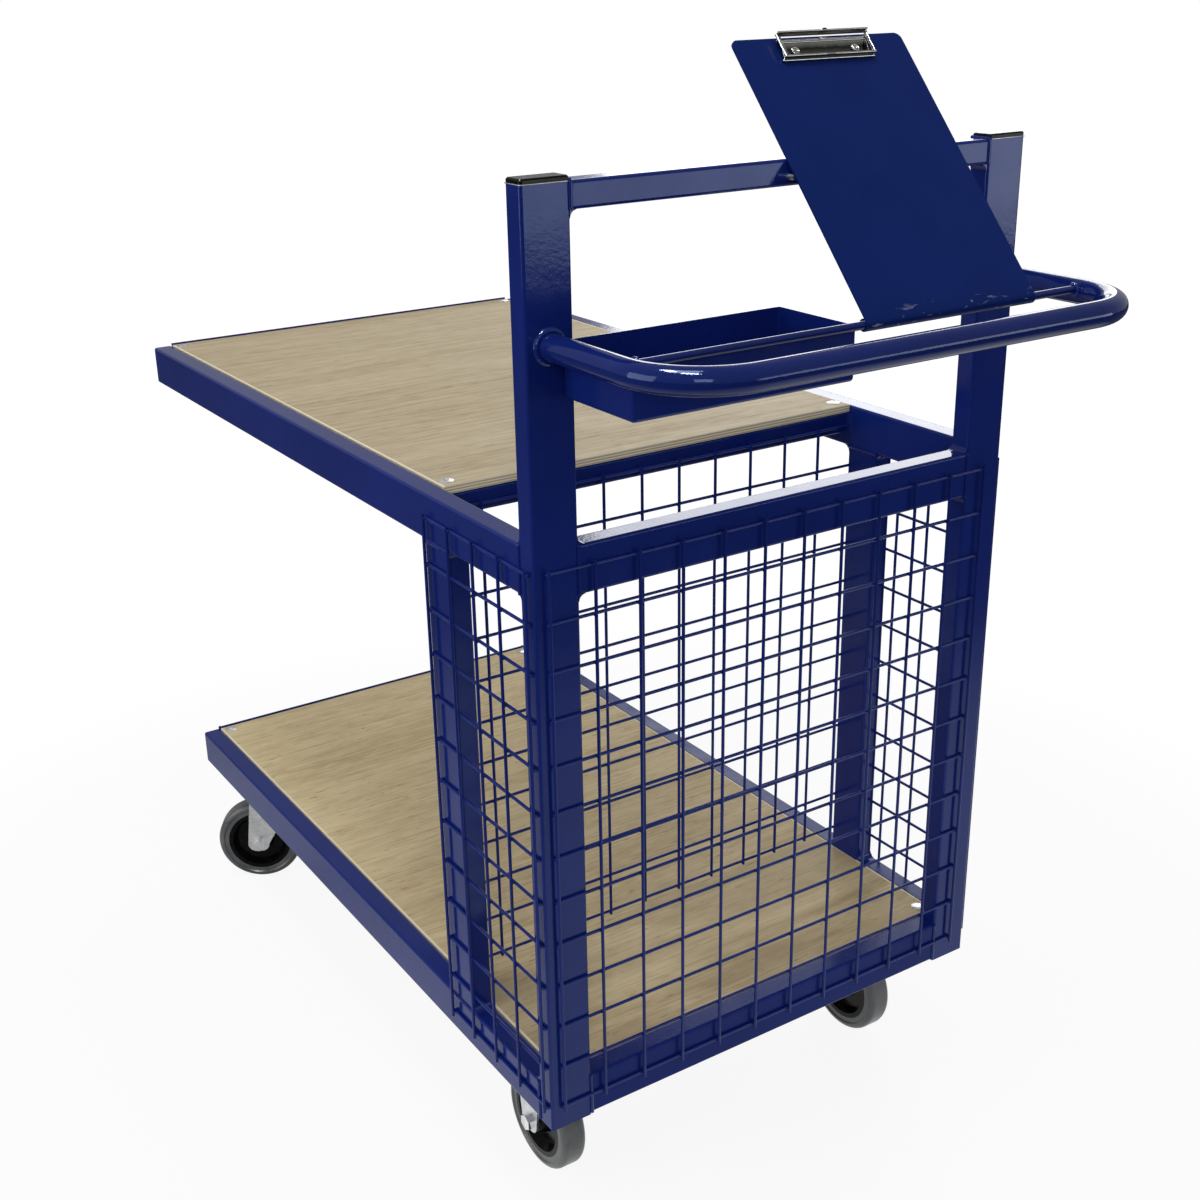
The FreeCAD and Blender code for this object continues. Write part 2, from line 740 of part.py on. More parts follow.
def weldmesh():
    """Rear, side and inner panels, each laid on the faces that it is welded to."""
    wire, tip, side_tip, pitch = Size.wire, Size.mesh_tip, Size.mesh_side_tip, Size.mesh_pitch_across
    rail_top = Size.deck_rise + Size.section_wide
    rows = whole_count(rail_top - Size.mesh_bottom, Size.mesh_pitch_up)
    bottom = foot + Size.mesh_bottom
    columns = whole_count(Size.frame_width - Size.mesh_margin * 2, pitch)
    first = Size.rear_mesh_shift - pitch * (columns - 1) / 2
    span = pitch * (columns - 1) + side_tip * 2
    upright, cross = mesh_panel("rear_mesh", columns, rows, span, tip)
    place(upright, first, rear - wire / 2, bottom - tip)
    place(cross, first - side_tip, rear - wire / 2, bottom)
    group("rear_mesh", [upright, cross])
    columns = whole_count(Size.bin_depth - Size.side_mesh_start, pitch)
    span = pitch * (columns - 1) + side_tip * 2
    first = rear + Size.side_mesh_start
    for side, sign in SIDES.items():
        label = f"{side}_mesh"
        upright, cross = mesh_panel(label, columns, rows, span, tip)
        place(upright, (half_width + wire / 2) * sign, first, bottom - tip)
        place(cross, (half_width + wire / 2) * sign, first - side_tip, bottom)
        group(label, [upright, cross])
    rows = whole_count(rail_top - Size.inner_mesh_bottom, Size.mesh_pitch_up)
    bottom = foot + Size.inner_mesh_bottom
    columns = whole_count((inner_half - Size.inner_mesh_margin) * 2, pitch)
    first = Size.inner_mesh_shift - pitch * (columns - 1) / 2
    upright, cross = mesh_panel("inner_mesh", columns, rows, inner_half * 2, side_tip)
    face = rear + Size.bin_depth - wire / 2
    place(upright, first, face, bottom - side_tip)
    place(cross, -inner_half, face, bottom)
    group("inner_mesh", [upright, cross])


def push_handle():
    """A U of round tube from post to post, and the rod that spans its arms."""
    reach, bend = Size.handle_reach, Size.handle_bend
    handle = new_body("handle_tube")
    path = sketch_on(handle, "XY_Plane")
    outline(path, [
        (-arm_across, ZERO), (-arm_across, bend - reach), (bend - arm_across, -reach),
        (arm_across - bend, -reach), (arm_across, bend - reach), (arm_across, ZERO),
    ], {1: bend, 3: bend}, closed=False)
    ring = sketch_on(handle, "XZ_Plane")
    circle(ring, -arm_across, 0, Size.handle_tube)
    circle(ring, -arm_across, 0, Size.handle_tube - Size.handle_wall * 2)
    doc.recompute()
    pipe = handle.newObject("PartDesign::AdditivePipe", "handle_pipe")
    pipe.Profile = ring
    pipe.Spine = path
    doc.recompute()
    place(handle, ZERO, rear, handle_up)
    keep(handle, "handle_tube")
    quarter = measure(DEGREES_IN_TURN / 4)
    rod = cylinder("rod_bar", Size.rod, arm_across * 2, -arm_across, rod_forward, rod_up, FreeCAD.Vector(0, 1, 0),
                   quarter)
    for side, sign in SIDES.items():
        arm = cylinder(f"{side}_arm_line", Size.handle_tube, reach, arm_across * sign, rear, handle_up, ALONG_X,
                       quarter)
        rod = less(f"rod_to_{side}_arm", rod, arm)
    doc.recompute()
    keep(rod, "rest_rod")


def parts_tray():
    """An open sheet metal tray between the left arm and the rod, against the left post."""
    tray = new_body("tray")
    depth = Size.rod_back - Size.rod / 2
    block = sketch_on(tray, "XY_Plane")
    rectangle(block, plate_left - Size.tray_gap - tray_left, depth, ZERO, -depth)
    pad(tray, block, Size.tray_height)
    top = Size.tray_height.value
    rounded = edges_where(tray.Shape, lambda middle, run, straight: middle.z < top * NEAR_SHARE)
    round_off(tray, rounded, Size.tray_corner)
    lid = [f"Face{number}" for number, face in enumerate(tray.Shape.Faces, start=1)
           if face.CenterOfMass.z > top * NEAR_SHARE]
    base = tray.Tip
    shell = tray.newObject("PartDesign::Thickness", "tray_walls")
    shell.Base = (base, lid)
    shell.Reversed = True
    shell.setExpression("Value", Size.tray_wall.formula)
    doc.recompute()
    place(tray, tray_left, rear, rod_up - Size.tray_height)
    keep(tray, "tray")


# the clipboard leans on the rounded rear edge of the top rail
eye_inner = Size.rod / 2 + Size.eye_fit
eye_outer = eye_inner + Size.plate_sheet
edge_run = Size.rod_back + Size.section_corner
edge_rise = post_top - Size.section_corner - rod_up
edge_reach = square_root(edge_run * edge_run + edge_rise * edge_rise)
lean = arc_tangent(edge_run, edge_rise) + arc_sine((eye_inner - Size.rest_gap - Size.section_corner) / edge_reach)
slope = 90 - lean
clip_middle = plate_left + Size.plate_width / 2
pin_along = Size.plate_length - Size.clip_top_margin - Size.clip_pin_drop


def on_plate(piece, across, along=ZERO, out=ZERO):
    """Places a piece in the plate's own frame: across, up along the sheet and out from the rod's middle."""
    forward = rod_forward + along * sine(lean) - out * cosine(lean)
    up = rod_up + along * cosine(lean) + out * sine(lean)
    return place(piece, across, forward, up, ALONG_X, slope)


def clipboard():
    """The sheet that hangs on the rod by its rolled lower edge, and the studs that it leans on."""
    plate = new_body("clipboard_plate")
    side = sketch_on(plate, "YZ_Plane")
    start = math.pi / 2
    end = start + math.radians(Size.eye_turn.value)
    middle = FreeCAD.Vector()
    inner_arc = side.addGeometry(Part.ArcOfCircle(Part.Circle(middle, UP, eye_inner.value), start, end))
    outer_arc = side.addGeometry(Part.ArcOfCircle(Part.Circle(middle, UP, eye_outer.value), start, end))
    corners = [(0, eye_inner.value), (Size.plate_length.value, eye_inner.value),
               (Size.plate_length.value, eye_outer.value), (0, eye_outer.value)]
    corners = [FreeCAD.Vector(along, out, 0) for along, out in corners]
    under, top, over = [side.addGeometry(Part.LineSegment(corners[n], corners[n + 1])) for n in range(3)]
    tips = [FreeCAD.Vector(math.cos(end), math.sin(end), 0) * radius.value for radius in (eye_inner, eye_outer)]
    tip = side.addGeometry(Part.LineSegment(*tips))
    for index in (inner_arc, outer_arc):
        side.addConstraint(Sketcher.Constraint("Coincident", index, 3, -1, 1))
    for first, one, second, other in ((under, 2, top, 1), (top, 2, over, 1), (under, 1, inner_arc, 1),
                                      (over, 2, outer_arc, 1), (tip, 1, inner_arc, 2), (tip, 2, outer_arc, 2)):
        side.addConstraint(Sketcher.Constraint("Coincident", first, one, second, other))
    for line in (under, over):
        side.addConstraint(Sketcher.Constraint("Horizontal", line))
    side.addConstraint(Sketcher.Constraint("Vertical", top))
    side.addConstraint(Sketcher.Constraint("PointOnObject", inner_arc, 1, -2))
    side.addConstraint(Sketcher.Constraint("PointOnObject", outer_arc, 1, -2))
    side.addConstraint(Sketcher.Constraint("PointOnObject", -1, 1, tip))
    bind(side, Sketcher.Constraint("Radius", inner_arc, eye_inner.value), eye_inner)
    bind(side, Sketcher.Constraint("Radius", outer_arc, eye_outer.value), eye_outer)
    length_pin = Sketcher.Constraint("DistanceX", -1, 1, top, 1, Size.plate_length.value)
    bind(side, length_pin, Size.plate_length)
    tip_turn = Sketcher.Constraint("Angle", outer_arc, math.radians(Size.eye_turn.value))
    bind(side, tip_turn, Size.eye_turn)
    pad(plate, side, Size.plate_width)
    far = Size.plate_length.value
    corners = edges_where(plate.Shape, lambda middle, run, straight:
                          straight and abs(run.z) > NEAR_SHARE and middle.y > far * NEAR_SHARE)
    round_off(plate, corners, Size.plate_corner)
    places = [(clip_middle - plate_left + Size.rivet_spread / 2 * sign, rivet_along) for sign in (-1, 1)]
    drill(plate, "XY_Plane", eye_outer, places, Size.rivet + Size.screw_fit * 2, Size.plate_sheet)
    on_plate(plate, plate_left)
    keep(plate, "clipboard_plate")
    back_run = Size.post_height - Size.stud_drop + Size.stud / 2 - Size.handle_rise - Size.rod_lift
    stud_reach = Size.rod_back - (back_run * sine(lean) - eye_inner) / cosine(lean) - Size.rest_gap
    studs = []
    for number, across in enumerate(stud_places(), start=1):
        hold = Size.section_wall * 2
        studs.append(cylinder(f"stop_stud_{number}", Size.stud, stud_reach + hold, across, rear + hold,
                              post_top - Size.stud_drop, ALONG_X, measure(DEGREES_IN_TURN / 4)))
    group("stop_studs", studs)


rivet_along = pin_along - Size.clip_pin_drop - Size.rivet_rise / 2


def spring_clip():
    """A dished base on two rivets, with a hinged jaw, its pin and its torsion spring."""
    sheet_thick, pin = Size.clip_sheet, Size.clip_pin
    pin_out = eye_outer + Size.clip_pin_height
    pin_hole = pin + Size.clip_pin_fit * 2
    ear_half = Size.clip_width / 2 - Size.clip_ear_inset
    base = new_body("clip_base")
    section = sketch_on(base, "YZ_Plane")
    dish, tall = Size.clip_base_dish, Size.clip_base_height
    upper = Size.clip_pin_drop - Size.clip_top_margin
    outline(section, [
        (upper - tall, ZERO), (upper, ZERO), (upper, dish + sheet_thick), (upper - dish, dish + sheet_thick),
        (upper - dish - sheet_thick, sheet_thick), (upper - tall, sheet_thick),
    ])
    pad(base, section, ear_half * 2, symmetric=True)
    ear_top = Size.clip_pin_height + Size.clip_ear_clear + pin / 2
    for sign in SIDES.values():
        ear = sketch_on(base, "YZ_Plane", ear_half * sign - (sheet_thick if sign > 0 else ZERO))
        rectangle(ear, Size.clip_ear_long, ear_top, -Size.clip_ear_long / 2, ZERO)
        pad(base, ear, sheet_thick)
    bore = sketch_on(base, "YZ_Plane")
    circle(bore, ZERO, Size.clip_pin_height, pin_hole)
    pocket(base, bore, symmetric=True)
    places = [(Size.rivet_spread / 2 * sign, rivet_along - pin_along) for sign in (-1, 1)]
    drill(base, "XY_Plane", sheet_thick, places, Size.rivet + Size.screw_fit * 2, sheet_thick)
    on_plate(base, clip_middle, pin_along, eye_outer)
    keep(base, "clip_base")

    rivets = []
    for name, sign in SIDES.items():
        rivet = new_body(f"{name}_rivet")
        half = sketch_on(rivet, "XZ_Plane")
        shank, head, rise = Size.rivet / 2, Size.rivet_head / 2, Size.rivet_head_height
        back = -Size.plate_sheet
        back_head = head * RIVET_BACK_SHARE
        outline(half, [
            (shank / 2, back - rise), (back_head, back - rise), (back_head, back), (shank, back),
            (shank, sheet_thick), (head, sheet_thick), (shank, sheet_thick + rise), (shank / 2, sheet_thick),
        ])
        revolve(rivet, half, "V_Axis")
        rivets.append(on_plate(rivet, clip_middle + Size.rivet_spread / 2 * sign, rivet_along, eye_outer))
    group("clip_rivets", rivets)

    pin_body = new_body("clip_pin")
    pin_circle = sketch_on(pin_body, "YZ_Plane")
    circle(pin_circle, ZERO, ZERO, pin)
    pad(pin_body, pin_circle, Size.clip_width, symmetric=True)
    on_plate(pin_body, clip_middle, pin_along, pin_out)
    keep(pin_body, "clip_pin")
    keep(torsion_spring(), "clip_spring")
    keep(clip_jaw(), "clip_jaw")


def torsion_spring():
    """An open coil round the pin, with a leg down to the base."""
    wire, turns = Size.spring_wire.value, int(Size.spring_turns.value)
    radius = Size.spring_inside.value / 2 + wire / 2
    step = wire + Size.spring_turn_gap.value
    leg = (Size.clip_pin_height - Size.clip_sheet - Size.rest_gap).value
    half_turns = 2 * turns
    start = -step * turns / 2
    edges = []
    points = []
    for half in range(half_turns):
        angle = math.pi * half
        here = coil_point(radius, angle, start + step * half / 2)
        through = coil_point(radius, angle + math.pi / 2, start + step * (half + HALF_SHARE) / 2)
        there = coil_point(radius, angle + math.pi, start + step * (half + 1) / 2)
        edges.append(Part.Arc(here, through, there).toShape())
        points += [here, there]
    leg_end = points[0] - FreeCAD.Vector(0, 0, leg)
    path = Part.Wire([Part.LineSegment(leg_end, points[0]).toShape()] + edges)
    profile = Part.Wire([Part.Circle(leg_end, UP, wire / 2).toShape()])
    piece = doc.addObject("Part::Feature", "clip_spring")
    piece.Shape = path.makePipeShell([profile], True, False)
    return on_plate(piece, clip_middle, pin_along, eye_outer + Size.clip_pin_height)


def coil_point(radius, angle, across):
    return FreeCAD.Vector(across, radius * math.cos(angle), radius * math.sin(angle))


def clip_jaw():
    """A pressed jaw: rolled gripping edge, side arms, an upturned back strip with a hanging tab, and ears."""
    jaw = new_body("clip_jaw")
    thick, roof, bead = Size.clip_sheet, Size.jaw_roof - Size.clip_pin_height, Size.jaw_bead
    reach, strip = Size.jaw_reach, Size.jaw_strip
    grip = Size.jaw_grip_gap - Size.clip_pin_height
    back = Size.clip_pin_drop
    low = -reach + bead
    side = sketch_on(jaw, "YZ_Plane")
    outline(side, [
        (-reach, grip + bead / 2), (-reach + bead / 2, grip), (low, grip + bead / 2), (low, roof - thick - bead),
        (low + bead, roof - thick), (back, roof - thick), (back, roof + Size.jaw_back_rise),
        (back - thick, roof + Size.jaw_back_rise), (back - thick, roof), (low, roof), (-reach, roof - bead),
    ])
    pad(jaw, side, Size.clip_width, symmetric=True)
    window = sketch_on(jaw, "XY_Plane", roof)
    open_half = Size.clip_width / 2 - Size.jaw_arm
    rectangle(window, open_half * 2, reach - strip / 2 - bead * 2, -open_half, low + bead / 2)
    pocket(jaw, window, backward=True)
    for sign in SIDES.values():
        outer = Size.clip_width / 2
        flange = sketch_on(jaw, "YZ_Plane", outer * sign - (thick if sign > 0 else ZERO))
        ear = Size.clip_ear_long
        rectangle(flange, ear, roof + Size.clip_pin, -ear / 2, -Size.clip_pin)
        pad(jaw, flange, thick)
    bore = sketch_on(jaw, "YZ_Plane")
    circle(bore, ZERO, ZERO, Size.clip_pin + Size.clip_pin_fit * 2)
    pocket(jaw, bore, symmetric=True)
    tab = sketch_on(jaw, "XZ_Plane", thick - back)
    rise = roof + Size.jaw_back_rise
    half = Size.jaw_tab / 2
    outline(tab, [(-half, rise - thick), (half, rise - thick), (half / 2, rise + half / 2),
                  (-half / 2, rise + half / 2)])
    pad(jaw, tab, thick)
    return on_plate(jaw, clip_middle, pin_along, eye_outer + Size.clip_pin_height)


def fork(name, trail, top, heel):
    """A pressed fork: tapered legs with rounded ends, bent down from a flat crown, bored for its axle.

    The heel is the corner of the legs' trailing edge below the crown.
    """
    body = new_body(name)
    axle_up = Size.wheel / 2
    half, corner = Size.fork_leg_half, Size.fork_leg_corner
    gap, thick, crown_half = Size.fork_gap, Size.fork_sheet, Size.fork_crown_half
    side = sketch_on(body, "YZ_Plane")
    outline(side, [
        (-crown_half, top), (-crown_half, top - Size.fork_shoulder / 2), (trail - half, axle_up),
        (trail - half + corner, axle_up - corner), (trail + half - corner, axle_up - corner),
        (trail + half, axle_up), heel, (crown_half, top),
    ], {2: corner, 4: corner})
    pad(body, side, gap + thick * 2, symmetric=True)
    tunnel = sketch_on(body, "XZ_Plane")
    rectangle(tunnel, gap, top - thick, -gap / 2, ZERO)
    pocket(body, tunnel, symmetric=True)
    outside = (gap / 2 + thick).value
    high = top.value
    bends = edges_where(body.Shape, lambda middle, run, straight: abs(run.y) > NEAR_SHARE
                        and abs(abs(middle.x) - outside) < outside * TOUCH_SHARE
                        and abs(middle.z - high) < high * TOUCH_SHARE)
    round_off(body, bends, Size.fork_bend + thick)
    inside = gap.value / 2
    ceiling = (top - thick).value
    bends = edges_where(body.Shape, lambda middle, run, straight: abs(run.y) > NEAR_SHARE
                        and abs(abs(middle.x) - inside) < inside * TOUCH_SHARE
                        and abs(middle.z - ceiling) < ceiling * CLOSE_SHARE)
    round_off(body, bends, Size.fork_bend)
    bore = sketch_on(body, "YZ_Plane")
    circle(bore, trail, axle_up, Size.axle + Size.axle_fit * 2)
    pocket(body, bore, symmetric=True)
    return body


def castor_plate(body, top):
    """Grows the bolted top plate, with its four holes, at the head of a castor."""
    thick = Size.castor_plate_sheet
    flat = sketch_on(body, "XY_Plane", top - thick)
    rectangle(flat, Size.castor_plate_wide, Size.castor_plate_long)
    pad(body, flat, thick)
    half_wide = Size.castor_plate_wide.value / 2
    half_long = Size.castor_plate_long.value / 2
    corners = edges_where(body.Shape, lambda middle, run, straight: straight and abs(run.z) > NEAR_SHARE
                          and abs(middle.x) > half_wide * NEAR_SHARE and abs(middle.y) > half_long * NEAR_SHARE)
    round_off(body, corners, Size.castor_plate_corner)
    places = [(Size.castor_bolts_wide / 2 * a, Size.castor_bolts_long / 2 * b) for a in (-1, 1) for b in (-1, 1)]
    drill(body, "XY_Plane", top, places, Size.bolt + Size.bolt_fit * 2, thick)


def wheel_pieces(name, across, forward, turn):
    """Axle bolt with its nut, clamped bush, black hub and grey tyre, about one axle line."""
    up = Size.wheel / 2
    gap, thick = Size.fork_gap, Size.fork_sheet

    def turned(piece_name, corners, radii=None):
        body = new_body(piece_name)
        half = sketch_on(body, "XY_Plane")
        outline(half, corners, radii)
        revolve(body, half)
        return place(body, across, forward, up, UP, turn)

    bush_outer, bush_inner = Size.bush / 2, Size.axle / 2 + Size.axle_fit
    bush = turned(f"{name}_bush", [(-gap / 2, bush_inner), (gap / 2, bush_inner), (gap / 2, bush_outer),
                                   (-gap / 2, bush_outer)])
    bore = bush_outer + Size.hub_bore_fit
    boss = gap / 2 - Size.hub_side_gap
    web = Size.hub_web / 2
    seat = Size.wheel / 2 - Size.tyre_depth
    rim = Size.tread_width / 2 - Size.hub_rim_inset
    boss_outer = Size.hub_boss / 2
    slant = boss - web
    hub = turned(f"{name}_hub", [
        (-boss, bore), (boss, bore), (boss, boss_outer), (web, boss_outer + slant * HUB_SLANT_SHARE),
        (web, seat - Size.hub_rim * 2), (rim, seat - Size.hub_rim), (rim, seat), (-rim, seat),
        (-rim, seat - Size.hub_rim), (-web, seat - Size.hub_rim * 2), (-web, boss_outer + slant * HUB_SLANT_SHARE),
        (-boss, boss_outer),
    ])
    tread, shoulder = Size.tread_width / 2, Size.tread_shoulder
    outer = Size.wheel / 2
    waist = tread - Size.tyre_step
    ledge = seat + Size.tyre_step_height
    tyre = turned(f"{name}_tyre", [
        (-waist, seat), (waist, seat), (waist, ledge), (tread, ledge + Size.tyre_step), (tread, outer - shoulder),
        (tread - shoulder, outer), (shoulder - tread, outer), (-tread, outer - shoulder),
        (-tread, ledge + Size.tyre_step), (-waist, ledge),
    ], {4: shoulder, 6: shoulder})

    half_span = gap / 2 + thick
    head = Size.axle_head_height
    bolt = new_body(f"{name}_axle_bolt")
    shank = sketch_on(bolt, "YZ_Plane", -half_span)
    circle(shank, ZERO, ZERO, Size.axle)
    pad(bolt, shank, half_span * 2 + head)
    nut = new_body(f"{name}_axle_nut")
    for body, start in ((bolt, -half_span - head), (nut, half_span)):
        flats = sketch_on(body, "YZ_Plane", start)
        hexagon_outline(flats, Size.axle_head_across)
        pad(body, flats, head)
    hole = sketch_on(nut, "YZ_Plane", half_span)
    circle(hole, ZERO, ZERO, Size.axle + Size.axle_fit * 2)
    pocket(nut, hole, head)
    for body in (bolt, nut):
        place(body, across, forward, up, UP, turn)
    return {"axle": (bolt, nut), "bush": bush, "hub": hub, "tyre": tyre}


def hexagon_outline(sketch, across_flats):
    """A hexagon about the sketch's origin."""
    corner = across_flats / 2 / cosine(measure(DEGREES_IN_TURN / HEXAGON / 2))
    corners = []
    for number in range(HEXAGON):
        angle = measure(DEGREES_IN_TURN / HEXAGON * (number + HALF_SHARE))
        corners.append((corner * cosine(angle), corner * sine(angle)))
    outline(sketch, corners)


# heights in a swivel castor, from the floor
plate_under = Size.castor_height - Size.castor_plate_sheet
race_under = plate_under - Size.race_boss
groove = Size.race_ball * Size.race_groove_share
crown_top = race_under - Size.race_ball + groove * 2 - Size.race_gap * 2


def swivel_castor(side, sign):
    """A bolted plate with a ball race and a king pin, and a raked fork that turns under it."""
    name = f"front_{side}"
    across = castor_across * sign
    forward = front_castor_forward
    turn = -Size.castor_turn * sign
    trail = Size.castor_trail
    wheel_across = across - trail * sine(turn)
    wheel_forward = forward + trail * cosine(turn)

    plate = new_body(f"{name}_castor_plate")
    castor_plate(plate, Size.castor_height)
    race = sketch_on(plate, "XZ_Plane")
    lip_outer = Size.crown_disc / 2
    lip_inner = lip_outer - Size.race_lip_sheet
    inner = Size.king_pin
    outline(race, [
        (inner, plate_under), (inner, race_under), (lip_inner, race_under), (lip_inner, plate_under - Size.race_lip),
        (lip_outer, plate_under - Size.race_lip), (lip_outer, plate_under),
    ])
    revolve(plate, race, "V_Axis")
    ball_track(plate, race_under - Size.race_ball / 2 + groove - Size.race_gap)
    drill(plate, "XY_Plane", Size.castor_height, [(ZERO, ZERO)], Size.king_pin)
    keep(place(plate, across, forward), f"{name}_castor_plate")

    heel = (trail + Size.fork_leg_half - Size.fork_heel_taper, crown_top - Size.fork_shoulder)
    legs = fork(f"{name}_fork", trail, crown_top, heel)
    disc = sketch_on(legs, "XY_Plane", crown_top - Size.fork_sheet)
    circle(disc, ZERO, ZERO, (lip_inner - Size.race_gap) * 2)
    pad(legs, disc, Size.fork_sheet)
    ball_track(legs, race_under - Size.race_ball / 2 + groove - Size.race_gap)
    drill(legs, "XY_Plane", crown_top, [(ZERO, ZERO)], Size.king_pin + Size.king_pin_fit * 2, Size.fork_sheet)
    keep(place(legs, across, forward, ZERO, UP, turn), f"{name}_fork")

    pin = new_body(f"{name}_king_pin")
    half = sketch_on(pin, "XZ_Plane")
    shank, head, tall = Size.king_pin / 2, Size.king_pin_head / 2, Size.king_pin_head_height
    head_top = crown_top - Size.fork_sheet - Size.race_gap
    crest = Size.castor_height + tall
    outline(half, [
        (ZERO, head_top - tall), (head - tall / 2, head_top - tall), (head, head_top - tall / 2), (head, head_top),
        (shank, head_top), (shank, Size.castor_height), (head, Size.castor_height), (head / 2, crest),
        (ZERO, crest),
    ])
    revolve(pin, half, "V_Axis")
    place(pin, across, forward)

    balls = []
    middle = race_under - Size.race_ball / 2 + groove - Size.race_gap
    for number in range(int(Size.race_balls.value)):
        angle = measure(number * DEGREES_IN_TURN) / Size.race_balls
        ball = doc.addObject("Part::Sphere", f"{name}_ball")
        ball.setExpression("Radius", (Size.race_ball / 2).formula)
        ball_across = across + Size.race_pitch / 2 * cosine(angle)
        balls.append(place(ball, ball_across, forward + Size.race_pitch / 2 * sine(angle), middle))

    wheel = wheel_pieces(name, wheel_across, wheel_forward, turn)
    group(f"{name}_axle", wheel["axle"])
    for piece in ("bush", "hub", "tyre"):
        keep(wheel[piece], f"{name}_{piece}")
    return pin, balls


def ball_track(body, middle):
    """Cuts the round track that the race's balls run in."""
    before = body.Shape.Volume
    track = sketch_on(body, "XZ_Plane")
    circle(track, Size.race_pitch / 2, middle, Size.race_ball + Size.race_gap * 2)
    cut = body.newObject("PartDesign::Groove", f"{body.Name}_track")
    cut.Profile = track
    cut.ReferenceAxis = (track, ["V_Axis"])
    cut.Angle = DEGREES_IN_TURN
    doc.recompute()
    if not body.Shape.Volume < before:
        raise RuntimeError(f"{body.Label}: the track cuts nothing")


def fixed_castor(side, sign):
    """A plate and fork in one piece, which holds its wheel in line with the frame."""
    name = f"rear_{side}"
    across = castor_across * sign
    heel = (Size.fork_crown_half, plate_under - Size.fork_shoulder / 2)
    body = fork(f"{name}_fork", ZERO, plate_under, heel)
    castor_plate(body, Size.castor_height)
    keep(place(body, across, rear_castor_forward), f"{name}_fork")
    wheel = wheel_pieces(name, across, rear_castor_forward, ZERO)
    for piece in ("hub", "tyre"):
        keep(wheel[piece], f"{name}_{piece}")
    return wheel


def castor_fixings():
    """Hexagon bolts through the castor plates, and weld nuts inside the bearers."""
    bolts = []
    nuts = []
    shank_length = Size.castor_plate_sheet + Size.section_wall + Size.nut_height + Size.bolt_head_height
    for sign in SIDES.values():
        for castor_forward in (rear_castor_forward, front_castor_forward):
            for side_step in (-1, 1):
                for end_step in (-1, 1):
                    across = castor_across * sign + Size.castor_bolts_wide / 2 * side_step
                    forward = castor_forward + Size.castor_bolts_long / 2 * end_step
                    head_under = plate_under - Size.bolt_head_height
                    head = hexagon("bolt_head", Size.bolt_head_across, Size.bolt_head_height, across, forward,
                                   head_under)
                    shank = cylinder("bolt_shank", Size.bolt, shank_length, across, forward, head_under)
                    bolts.append(joined("castor_bolt", head, shank))
                    nut_under = Size.castor_height + Size.section_wall
                    blank = hexagon("nut_blank", Size.bolt_head_across, Size.nut_height, across, forward,
                                    nut_under)
                    bore = cylinder("nut_bore", Size.bolt + Size.screw_fit * 2, Size.nut_height, across, forward,
                                    nut_under)
                    nuts.append(less("castor_nut", blank, bore))
    doc.recompute()
    group("castor_bolts", bolts)
    group("castor_nuts", nuts)


def castors():
    """Two swivel castors at the front and two fixed ones at the rear, with the pieces that they share."""
    pins = []
    balls = []
    rear_axles = []
    rear_bushes = []
    for side, sign in SIDES.items():
        pin, race = swivel_castor(side, sign)
        pins.append(pin)
        balls += race
        wheel = fixed_castor(side, sign)
        rear_axles += wheel["axle"]
        rear_bushes.append(wheel["bush"])
    group("king_pins", pins)
    group("race_balls", balls)
    group("rear_axles", rear_axles)
    group("rear_bushes", rear_bushes)
    castor_fixings()


def write_parts():
    """Stops on any object that failed, then writes one file for each sub-part."""
    doc.recompute()
    for piece in doc.Objects:
        if "Invalid" in piece.State or "Error" in piece.State:
            raise RuntimeError(f"{piece.Label} failed: {piece.State}")
    for piece in nodes:
        if piece.Shape.isNull() or not piece.Shape.isValid():
            raise RuntimeError(f"{piece.Label} has no valid shape")
    os.makedirs("parts", exist_ok=True)
    for piece in nodes:
        piece.Shape.exportStep(f"parts/{piece.Label}.step")


lower_frame()
uprights()
upper_frame()
decks()
weldmesh()
push_handle()
parts_tray()
clipboard()
spring_clip()
castors()
write_parts()
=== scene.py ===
"""Looks of the order picking trolley: finishes, weld seams, fine fittings, floor, lamps and camera."""

import json
import logging
import math
from dataclasses import dataclass
from enum import Enum
from typing import Iterable, Sequence

import bmesh
import bpy
from mathutils import Matrix, Vector

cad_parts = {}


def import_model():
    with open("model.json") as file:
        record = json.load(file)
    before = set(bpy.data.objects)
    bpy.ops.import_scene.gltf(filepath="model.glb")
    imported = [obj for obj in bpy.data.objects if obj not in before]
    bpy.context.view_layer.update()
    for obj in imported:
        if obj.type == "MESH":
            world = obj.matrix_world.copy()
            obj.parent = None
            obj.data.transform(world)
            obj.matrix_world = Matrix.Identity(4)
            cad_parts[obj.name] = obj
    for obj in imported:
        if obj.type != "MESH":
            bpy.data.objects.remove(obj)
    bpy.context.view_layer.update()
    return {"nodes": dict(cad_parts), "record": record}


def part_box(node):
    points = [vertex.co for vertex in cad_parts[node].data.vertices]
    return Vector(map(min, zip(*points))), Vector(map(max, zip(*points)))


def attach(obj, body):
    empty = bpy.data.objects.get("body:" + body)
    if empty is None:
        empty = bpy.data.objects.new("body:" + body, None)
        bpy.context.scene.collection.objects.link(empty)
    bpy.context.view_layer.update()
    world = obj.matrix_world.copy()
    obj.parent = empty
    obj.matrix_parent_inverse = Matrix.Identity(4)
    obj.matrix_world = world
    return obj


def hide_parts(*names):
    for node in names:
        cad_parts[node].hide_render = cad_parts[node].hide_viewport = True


LOG = logging.getLogger("trolley")

Point = tuple[float, float, float]
Colour = tuple[float, float, float]
Range = tuple[float, float]
Direction = Sequence[float]
Socket = bpy.types.NodeSocket
Piece = bpy.types.Object
Material = bpy.types.Material

